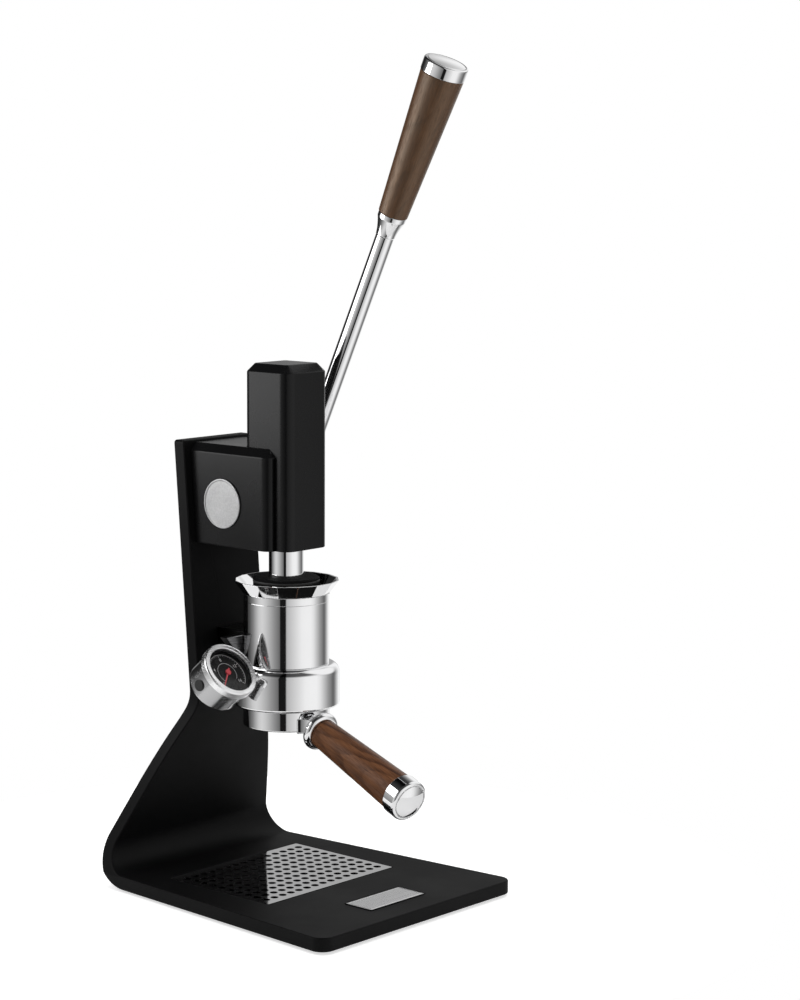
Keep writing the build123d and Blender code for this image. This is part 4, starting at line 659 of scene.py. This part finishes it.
class MAKER_OT_lever(Operator):
    """Turn the lever's rod, ferrule, grip and end cap"""

    bl_idname = "maker.lever"
    bl_label = "Lever"

    def execute(self, context):
        count = context.scene.maker_sizes.round_steps
        place = (LEVER_FOOT, LEVER_AXIS, ACROSS, count)
        low, high = ROD_ENDS
        rod = rounded([(0, low), (ROD_RADIUS, low), (ROD_RADIUS, high), (0, high)], 0.5)
        piece("lever_bar", spun(rod, *place), finish("chrome"), "lever", "chrome", "lever_rod")
        climb = np.linspace(0, 1, 17)
        flare = np.stack([FERRULE_LOW + (FERRULE_HIGH - FERRULE_LOW) * climb ** 1.5,
                          FERRULE_START + FERRULE_FLARE * climb], axis=1)
        rim = rounded([(FERRULE_HIGH, FERRULE_START + FERRULE_FLARE + 0.5), (FERRULE_HIGH, FERRULE_END),
                       (FERRULE_BORE, FERRULE_END)], 0.4)
        ferrule = np.vstack([flare, rim, [(FERRULE_BORE, FERRULE_START)]])
        piece("lever_collar", spun(ferrule, *place), finish("chrome"), "lever", "chrome", "lever_ferrule")
        low, high = FERRULE_END + SEAM, KNOB_START - SEAM
        grip = rounded_loop([(GRIP_BORE, low), (GRIP_LOW, low), (GRIP_HIGH, high), (GRIP_BORE, high)],
                            (0.3, 0.8, 0.8, 0.3))
        piece("lever_handle", spun(grip, *place), finish("walnut_lever"), "lever", "walnut", "lever_grip")
        knob = domed_cap(KNOB_START, KNOB_BORE_END, GRIP_BORE, KNOB_END, KNOB_RADIUS, KNOB_EDGE,
                         KNOB_GROOVE, KNOB_RISE)
        piece("lever_knob", spun(knob, *place), finish("chrome"), "lever", "chrome", "lever_end_cap")
        return {"FINISHED"}


# Fine ring groove of an end cap, in millimetres
GROOVE_WIDTH = 0.6
GROOVE_DEPTH = 0.45
GROOVE_SLOPE = 0.15


def domed_cap(start, bore_end, bore, end, radius, edge, groove, rise):
    """Profile of an end cap: a blind bore, a straight band, a rounded edge, a fine ring groove, and a middle
    that rises to the axis as a flat parabola."""
    face = end - rise
    floor_height = face - GROOVE_DEPTH
    shell = rounded([(0, bore_end), (bore, bore_end), (bore, start), (radius, start), (radius, face),
                     (groove + GROOVE_WIDTH, face), (groove + GROOVE_WIDTH - GROOVE_SLOPE, floor_height),
                     (groove + GROOVE_SLOPE, floor_height), (groove, face)],
                    (0.3, 0.3, 0.3, edge, 0.12, 0.1, 0.1))
    reach = np.linspace(groove, 0, 25)[1:]
    return np.vstack([shell, np.stack([reach, face + rise * (1 - (reach / groove) ** 2)], axis=1)])


# Portafilter handle, in millimetres: radii, and places along its axis
RING_BORE = 3.1
RING_RADIUS = 17.2
RING_ROUND = 4.1
RING_ENDS = (45.5, 54.0)
WOOD_BORE = 3.2
WOOD_LOW = 12.8
WOOD_HIGH = 16.7
CAP_START = 159.0
CAP_BORE_END = 168.1
CAP_END = 176.5
CAP_RADIUS = 17.8
CAP_EDGE = 2.6
CAP_GROOVE = 14.2
CAP_RISE = 3.5


class MAKER_OT_handle(Operator):
    """Shape the portafilter's neck, and turn its ferrule, grip and end cap"""

    bl_idname = "maker.handle"
    bl_label = "Portafilter handle"

    def execute(self, context):
        sizes = context.scene.maker_sizes
        place = (HANDLE_FOOT, HANDLE_AXIS, HANDLE_ACROSS, sizes.round_steps)
        softened("handle_neck", "handle_root", sizes.neck_edge, finish("chrome"), "portafilter")
        low, high = RING_ENDS
        ring = rounded_loop([(RING_BORE, low), (RING_RADIUS, low), (RING_RADIUS, high), (RING_BORE, high)],
                            (0.3, RING_ROUND, RING_ROUND, 0.3), 12)
        piece("handle_ring", spun(ring, *place), finish("chrome"), "portafilter", "chrome", "handle_ferrule")
        low, high = high + SEAM, CAP_START - SEAM
        grip = rounded_loop([(WOOD_BORE, low), (WOOD_LOW, low), (WOOD_HIGH, high), (WOOD_BORE, high)],
                            (0.3, 0.9, 0.6, 0.3))
        piece("handle_wood", spun(grip, *place), finish("walnut"), "portafilter", "walnut", "handle_grip")
        knob = domed_cap(CAP_START, CAP_BORE_END, WOOD_BORE, CAP_END, CAP_RADIUS, CAP_EDGE,
                         CAP_GROOVE, CAP_RISE)
        piece("handle_knob", spun(knob, *place), finish("chrome"), "portafilter", "chrome", "handle_end_cap")
        return {"FINISHED"}


# Water chamber, in millimetres: radii and heights
CHAMBER_BORE = 29.0
CHAMBER_RADIUS = 37.0
SPIGOT_RADIUS = 33.98
SPIGOT_FOOT = 197.5
CHAMBER_FOOT = 202.5
CHAMBER_TOP = 257.0
MOUTH_RADIUS = 33.0
MOUTH_TOP = 264.0
FUNNEL_EDGE = 0.35 * MM
FUNNEL_ANGLE = 18.0


class MAKER_OT_brew_group(Operator):
    """Turn the water chamber and round the edges of the funnel"""

    bl_idname = "maker.brew_group"
    bl_label = "Brew group"

    def execute(self, context):
        count = context.scene.maker_sizes.round_steps
        wall = rounded_loop([(CHAMBER_BORE, SPIGOT_FOOT), (SPIGOT_RADIUS, SPIGOT_FOOT),
                             (SPIGOT_RADIUS, CHAMBER_FOOT), (CHAMBER_RADIUS, CHAMBER_FOOT),
                             (CHAMBER_RADIUS, CHAMBER_TOP), (MOUTH_RADIUS, CHAMBER_TOP),
                             (MOUTH_RADIUS, MOUTH_TOP), (CHAMBER_BORE, MOUTH_TOP)],
                            (0.3, 0.3, 0.2, 0.4, 0.35, 0.2, 0.3, 0.3))
        piece("chamber_wall", spun(wall, np.zeros(3), UP, ACROSS, count), finish("chrome"), "stand", "chrome",
              "water_chamber")
        softened("pour_funnel", "funnel_flare", FUNNEL_EDGE, finish("chrome"), "stand",
                 FUNNEL_ANGLE)
        return {"FINISHED"}


# Pressure gauge, in millimetres: radii, and places along its axis
BEZEL_RADIUS = 25.8
BEZEL_SEAT = 23.6
BEZEL_LIP = 21.0
BEZEL_BACK = -5.5
BEZEL_FRONT = 1.6
LENS_FACE = 0.05
DIAL_FACE = -5.0
PRINT_HEIGHT = 0.04
SCALE_ENDS = (225.0, -45.0)
OUTER_ARC = (18.0, 18.35)
INNER_ARC = (9.4, 9.7)
TICK_REACH = 18.2
TICK_FOOT = 16.6
LONG_TICK_FOOT = 15.6
NUMBER_SIZE = 4.2
NUMBER_RADIUS = 13.0
NUMBER_EVERY = 8


class MAKER_OT_gauge(Operator):
    """Turn the gauge's bezel and print the scale on its dial"""

    bl_idname = "maker.gauge"
    bl_label = "Pressure gauge"

    def execute(self, context):
        sizes = context.scene.maker_sizes
        lip = rounded_loop([(BEZEL_SEAT, BEZEL_BACK), (BEZEL_RADIUS, BEZEL_BACK), (BEZEL_RADIUS, BEZEL_FRONT),
                            (BEZEL_LIP, BEZEL_FRONT), (BEZEL_LIP, LENS_FACE), (BEZEL_SEAT, LENS_FACE)],
                           (0.2, 0.5, 1.5, 0.6, 0.1, 0.1), 9)
        piece("gauge_lip", spun(lip, GAUGE_FOOT, GAUGE_AXIS, ACROSS, sizes.round_steps), finish("bezel"),
              "stand", "chrome", "gauge_bezel")
        piece("gauge_scale", joined(*dial_marks(sizes.dial_ticks)), finish("dial_print"), "stand",
              "satin_metal")
        return {"FINISHED"}


def dial_bands(inner, outer, start, end, steps):
    """Thin raised band on the dial between two radii, from one angle to another: rings of points at the four
    corners of its section, carried round the dial's axis and closed at both ends."""
    turn = np.radians(np.linspace(start, end, steps))
    up = np.cross(GAUGE_AXIS, ACROSS)
    ray = np.outer(np.cos(turn), ACROSS) + np.outer(np.sin(turn), up)
    radius = np.array([inner, outer, outer, inner])
    height = DIAL_FACE + PRINT_HEIGHT * np.array([0, 0, 1, 1])
    verts = GAUGE_FOOT + (ray[:, None] * radius[:, None] + height[:, None] * GAUGE_AXIS) * MM
    corner = np.arange(4)
    row = np.arange(steps - 1)[:, None] * 4
    ahead = (corner + 1) % 4
    sides = np.stack([row + corner, row + ahead, row + 4 + ahead, row + 4 + corner], axis=-1).reshape(-1, 4)
    caps = np.stack([corner[::-1], corner + (steps - 1) * 4])
    return verts.reshape(-1, 3), [sides, caps]


def dial_number(label, size, radius, angle):
    """Plain number printed on the dial: the outline of its text, made a thin closed mesh and then moved out
    from the dial's middle at an angle."""
    curve = bpy.data.curves.new("number", "FONT")
    curve.body = label
    curve.size = size
    curve.extrude = PRINT_HEIGHT / 2
    curve.align_x, curve.align_y = "CENTER", "CENTER"
    text = bpy.data.objects.new("number", curve)
    mesh = bpy.data.meshes.new_from_object(text)
    mesh.calc_loop_triangles()
    corners = np.empty(len(mesh.vertices) * 3)
    mesh.vertices.foreach_get("co", corners)
    sides = np.empty(len(mesh.loop_triangles) * 3, int)
    mesh.loop_triangles.foreach_get("vertices", sides)
    bpy.data.meshes.remove(mesh)
    bpy.data.objects.remove(text)
    bpy.data.curves.remove(curve)
    points, order = np.unique(corners.reshape(-1, 3).round(4), axis=0, return_inverse=True)
    turn = math.radians(angle)
    middle = DIAL_FACE + 0.75 * PRINT_HEIGHT
    points = points + (radius * math.cos(turn), radius * math.sin(turn), middle)
    axes = np.stack([ACROSS, np.cross(GAUGE_AXIS, ACROSS), GAUGE_AXIS])
    return GAUGE_FOOT + points @ axes * MM, [order.reshape(-1)[sides].reshape(-1, 3)]


def dial_marks(count):
    """Scale of the dial: two arcs, and ticks over three quarters of a turn, every eighth one longer and with
    a number."""
    first, last = SCALE_ENDS
    marks = [dial_bands(*radii, last, first, 91) for radii in (OUTER_ARC, INNER_ARC)]
    for step, angle in enumerate(np.linspace(first, last, count)):
        tall = step % NUMBER_EVERY == 0
        width = 0.9 if tall else 0.45
        foot = LONG_TICK_FOOT if tall else TICK_FOOT
        marks.append(dial_bands(foot, TICK_REACH, angle - width, angle + width, 3))
        if tall:
            marks.append(dial_number(str(step // 2), NUMBER_SIZE, NUMBER_RADIUS, angle))
    return marks


# Badge, in millimetres: radii, and places along the shaft's axis
BADGE_RADIUS = 21.5
BADGE_RIM = (20.1, 19.7)
BADGE_SEAT = 35.1
BADGE_TOP = 36.6
BADGE_FIELD = 36.1

# Nameplate, in millimetres
NAMEPLATE_MIDDLE = (0.0, -114.8)
NAMEPLATE_HALF = (34.5, 14.9)
NAMEPLATE_CORNER = 2.0
NAMEPLATE_SEAT = 13.4
NAMEPLATE_TOP = 14.4
NAMEPLATE_LINE = 0.15


class MAKER_OT_plates(Operator):
    """Shape the bare nameplate and the badge over the shaft"""

    bl_idname = "maker.plates"
    bl_label = "Nameplate and badge"

    def execute(self, context):
        count = context.scene.maker_sizes.round_steps
        rim, foot = BADGE_RIM
        field = rounded([(0, BADGE_SEAT), (BADGE_RADIUS, BADGE_SEAT), (BADGE_RADIUS, BADGE_TOP),
                         (rim, BADGE_TOP), (foot, BADGE_FIELD), (0, BADGE_FIELD)], (0.3, 0.5, 0.35, 0.35))
        piece("badge_disc", spun(field, PIVOT, -ACROSS, UP, count), finish("badge"), "stand", "satin_metal",
              "pivot_badge")
        top, line = NAMEPLATE_TOP, NAMEPLATE_TOP - NAMEPLATE_LINE
        edge = [(0, NAMEPLATE_SEAT), (0, top - 0.3), (0.1, top - 0.1), (0.3, top)]
        groove = [(1.5, top), (1.75, top), (1.8, line), (2.1, line), (2.15, top), (2.5, top)]
        bare = plate(NAMEPLATE_MIDDLE, NAMEPLATE_HALF, NAMEPLATE_CORNER, 8, edge + groove)
        piece("bare_plate", bare, finish("satin_metal"), "stand", "satin_metal", "nameplate")
        return {"FINISHED"}


# Lamps and floor, in metres
OVERHEAD_SIDE = 1.4
OVERHEAD_PLACE = (0.0, 0.0, 1.7)
OVERHEAD_TARGET = (0.0, 0.0, 0.0)
CARD_SIDE = 0.5
CARD_TARGET = (0.0, 0.0, 0.42)
FLOOR_RADIUS = 0.42
FLOOR_DROP = 0.0003
FLOOR_STEPS = 96

# Glow of the floor as the camera and as mirrors see it
FLOOR_GLOW = 0.62
FLOOR_MIRRORED = 0.12


class MAKER_OT_stage(Operator):
    """Set the floor, the soft light and the camera"""

    bl_idname = "maker.stage"
    bl_label = "Stage"

    def execute(self, context):
        stage = context.scene.maker_stage
        yaw, pitch = stage.camera_yaw, stage.camera_pitch
        back = Vector((math.sin(yaw) * math.cos(pitch), -math.cos(yaw) * math.cos(pitch), math.sin(pitch)))
        right = Vector((math.cos(yaw), math.sin(yaw), 0.0))
        camera = bpy.data.objects.new("camera", bpy.data.cameras.new("camera"))
        camera.matrix_world = Matrix.Translation(stage.camera_place) @ Matrix(
            (right, back.cross(right), back)).transposed().to_4x4()
        camera.data.lens = stage.lens
        camera.data.shift_x, camera.data.shift_y = stage.shift
        context.scene.collection.objects.link(camera)
        context.scene.camera = camera
        studio(context.scene, math.atan2(back.y, back.x), stage.softbox)
        floor()
        overhead = lamp("overhead", stage.lamp, OVERHEAD_SIDE, OVERHEAD_PLACE, OVERHEAD_TARGET)
        overhead.visible_glossy = False
        lamp("side_card", stage.card, CARD_SIDE, stage.card_place, CARD_TARGET)
        context.scene.view_settings.view_transform = "Standard"
        return {"FINISHED"}


def lamp(name, power, size, place, target):
    """Square soft lamp that faces a target and stays out of the camera's sight."""
    thing = bpy.data.objects.new(name, bpy.data.lights.new(name, "AREA"))
    thing.data.energy = power
    thing.data.size = size
    thing.location = place
    thing.rotation_euler = (Vector(place) - Vector(target)).to_track_quat("Z", "Y").to_euler()
    thing.visible_camera = False
    bpy.context.scene.collection.objects.link(thing)
    return thing


# Brightness of the studio round the horizon, partly read from the photographed chrome: degrees from the
# camera, positive to its right
STUDIO_ROUND = (
    (-180, 0.42), (-168, 0.42), (-156, 0.02), (-131, 0.02), (-114, 0.1), (-100, 0.24), (-88, 0.46),
    (-78, 0.66), (-68, 0.74), (-58, 0.66), (-49, 0.55), (-32, 0.32), (-17, 0.16), (-15.5, 0.01),
    (-0.6, 0.01), (0.6, 0.5), (8, 0.6), (25, 0.78), (42, 0.97), (55, 1.0), (69, 1.0), (79, 0.88), (90, 0.62),
    (103, 0.36), (121, 0.15), (127, 0.17), (133, 0.33), (145, 0.7), (158, 1.0), (168, 1.0),
    (174, 0.42), (180, 0.42),
)

# Middle of the overhead soft box: X towards the camera, Y to its right
OVERHEAD_BOX = (-0.371, 0.67, 0.643)

# Cosines of the angle from that middle between which the soft box fades in
OVERHEAD_FADE = (0.8, 0.93)

# Z of a direction between which the studio fades, and the share that is left at the ceiling
CEILING_FADE = (0.4, 0.75)
CEILING_SHARE = 0.1


def studio(scene, towards_camera, level):
    """World of soft boxes: its brightness depends on the direction round the horizon, and fades to a dark
    ceiling with one soft box in it. Rays from the camera see plain white."""
    world = bpy.data.worlds.new("studio")
    scene.world = world
    world.use_nodes = True
    tree = world.node_tree
    way = shade(tree, "TexCoord").outputs["Generated"]
    turned = shade(tree, "Mapping", {"Vector": way, "Rotation": (0.0, 0.0, -towards_camera)}).outputs[0]
    parts = shade(tree, "SeparateXYZ", {0: turned}).outputs
    turn = sums(tree, "MULTIPLY_ADD", sums(tree, "ARCTAN2", parts["Y"], parts["X"]), 0.5 / math.pi, 0.5)
    ramp = shade(tree, "ValToRGB", {"Fac": turn})
    stops = ramp.color_ramp.elements
    turns, tones = zip(*STUDIO_ROUND)
    for degrees in turns[1:-1]:
        stops.new(degrees / 360 + 0.5)
    for stop, tone in zip(stops, tones):
        stop.color = (tone, tone, tone, 1.0)
    ceiling = spread(tree, parts["Z"], *CEILING_FADE, 1.0, CEILING_SHARE)
    light = tinted(tree, ramp.outputs["Color"], sums(tree, "MULTIPLY", ceiling, level))
    near = shade(tree, "VectorMath", {0: turned, 1: OVERHEAD_BOX}, operation="DOT_PRODUCT").outputs["Value"]
    light = mixed(tree, spread(tree, near, *OVERHEAD_FADE, 0.0, 1.0), light, (1.0, 1.0, 1.0, 1.0))
    seen = shade(tree, "LightPath").outputs["Is Camera Ray"]
    background = tree.nodes["Background"]
    tree.links.new(mixed(tree, seen, light, (1.0, 1.0, 1.0, 1.0)), background.inputs["Color"])


def floor():
    """Pale round floor: a circle of points joined to its middle. The camera sees it nearly white, with the
    shadow, and mirrors see it darker."""
    turn = np.linspace(0, 2 * np.pi, FLOOR_STEPS, endpoint=False)
    ring = np.stack([np.cos(turn), np.sin(turn), 0 * turn], axis=1)
    verts = np.concatenate([ring * FLOOR_RADIUS, [(0, 0, 0)]]) + (0.0, 0.0, -FLOOR_DROP)
    here = np.arange(FLOOR_STEPS)
    faces = np.stack([here, (here + 1) % FLOOR_STEPS, np.full(FLOOR_STEPS, FLOOR_STEPS)], axis=1)
    mesh = bpy.data.meshes.new("floor")
    mesh.from_pydata(verts.tolist(), [], faces.tolist())
    made = bpy.data.materials.new("floor")
    made.use_nodes = True
    tree = made.node_tree
    tree.nodes.remove(tree.nodes["Principled BSDF"])
    paper = shade(tree, "BsdfDiffuse", {"Color": (0.8, 0.8, 0.8, 1.0)}).outputs[0]
    path = shade(tree, "LightPath").outputs
    seen = sums(tree, "MAXIMUM", path["Is Camera Ray"], path["Is Transmission Ray"])
    mirrored = sums(tree, "MULTIPLY", path["Is Glossy Ray"], FLOOR_MIRRORED)
    strength = sums(tree, "MULTIPLY_ADD", seen, FLOOR_GLOW, mirrored)
    glow = shade(tree, "Emission", {"Strength": strength}).outputs[0]
    both = shade(tree, "AddShader", {0: paper, 1: glow})
    tree.links.new(both.outputs[0], tree.nodes["Material Output"].inputs["Surface"])
    mesh.materials.append(made)
    thing = bpy.data.objects.new("floor", mesh)
    bpy.context.scene.collection.objects.link(thing)


STEPS = (MAKER_OT_finishes, MAKER_OT_plate, MAKER_OT_press_head, MAKER_OT_lever, MAKER_OT_handle,
         MAKER_OT_brew_group, MAKER_OT_gauge, MAKER_OT_plates, MAKER_OT_stage)


class MAKER_PT_panel(Panel):
    """Lists the steps that build the espresso maker"""

    bl_idname = "MAKER_PT_panel"
    bl_label = "Espresso maker"
    bl_space_type = "VIEW_3D"
    bl_region_type = "UI"
    bl_category = "Espresso"

    def draw(self, context):
        for step in STEPS:
            self.layout.operator(step.bl_idname)


GROUPS = {"maker_finishes": MakerFinishes, "maker_sizes": MakerSizes, "maker_stage": MakerStage}


def register():
    for kind in (*GROUPS.values(), *STEPS, MAKER_PT_panel):
        bpy.utils.register_class(kind)
    for name, kind in GROUPS.items():
        setattr(bpy.types.Scene, name, PointerProperty(type=kind))


def unregister():
    for name in GROUPS:
        delattr(bpy.types.Scene, name)
    for kind in reversed((*GROUPS.values(), *STEPS, MAKER_PT_panel)):
        bpy.utils.unregister_class(kind)


def main():
    register()
    for step in STEPS:
        getattr(bpy.ops.maker, step.bl_idname.split(".")[1])()


if __name__ == "__main__":
    main()
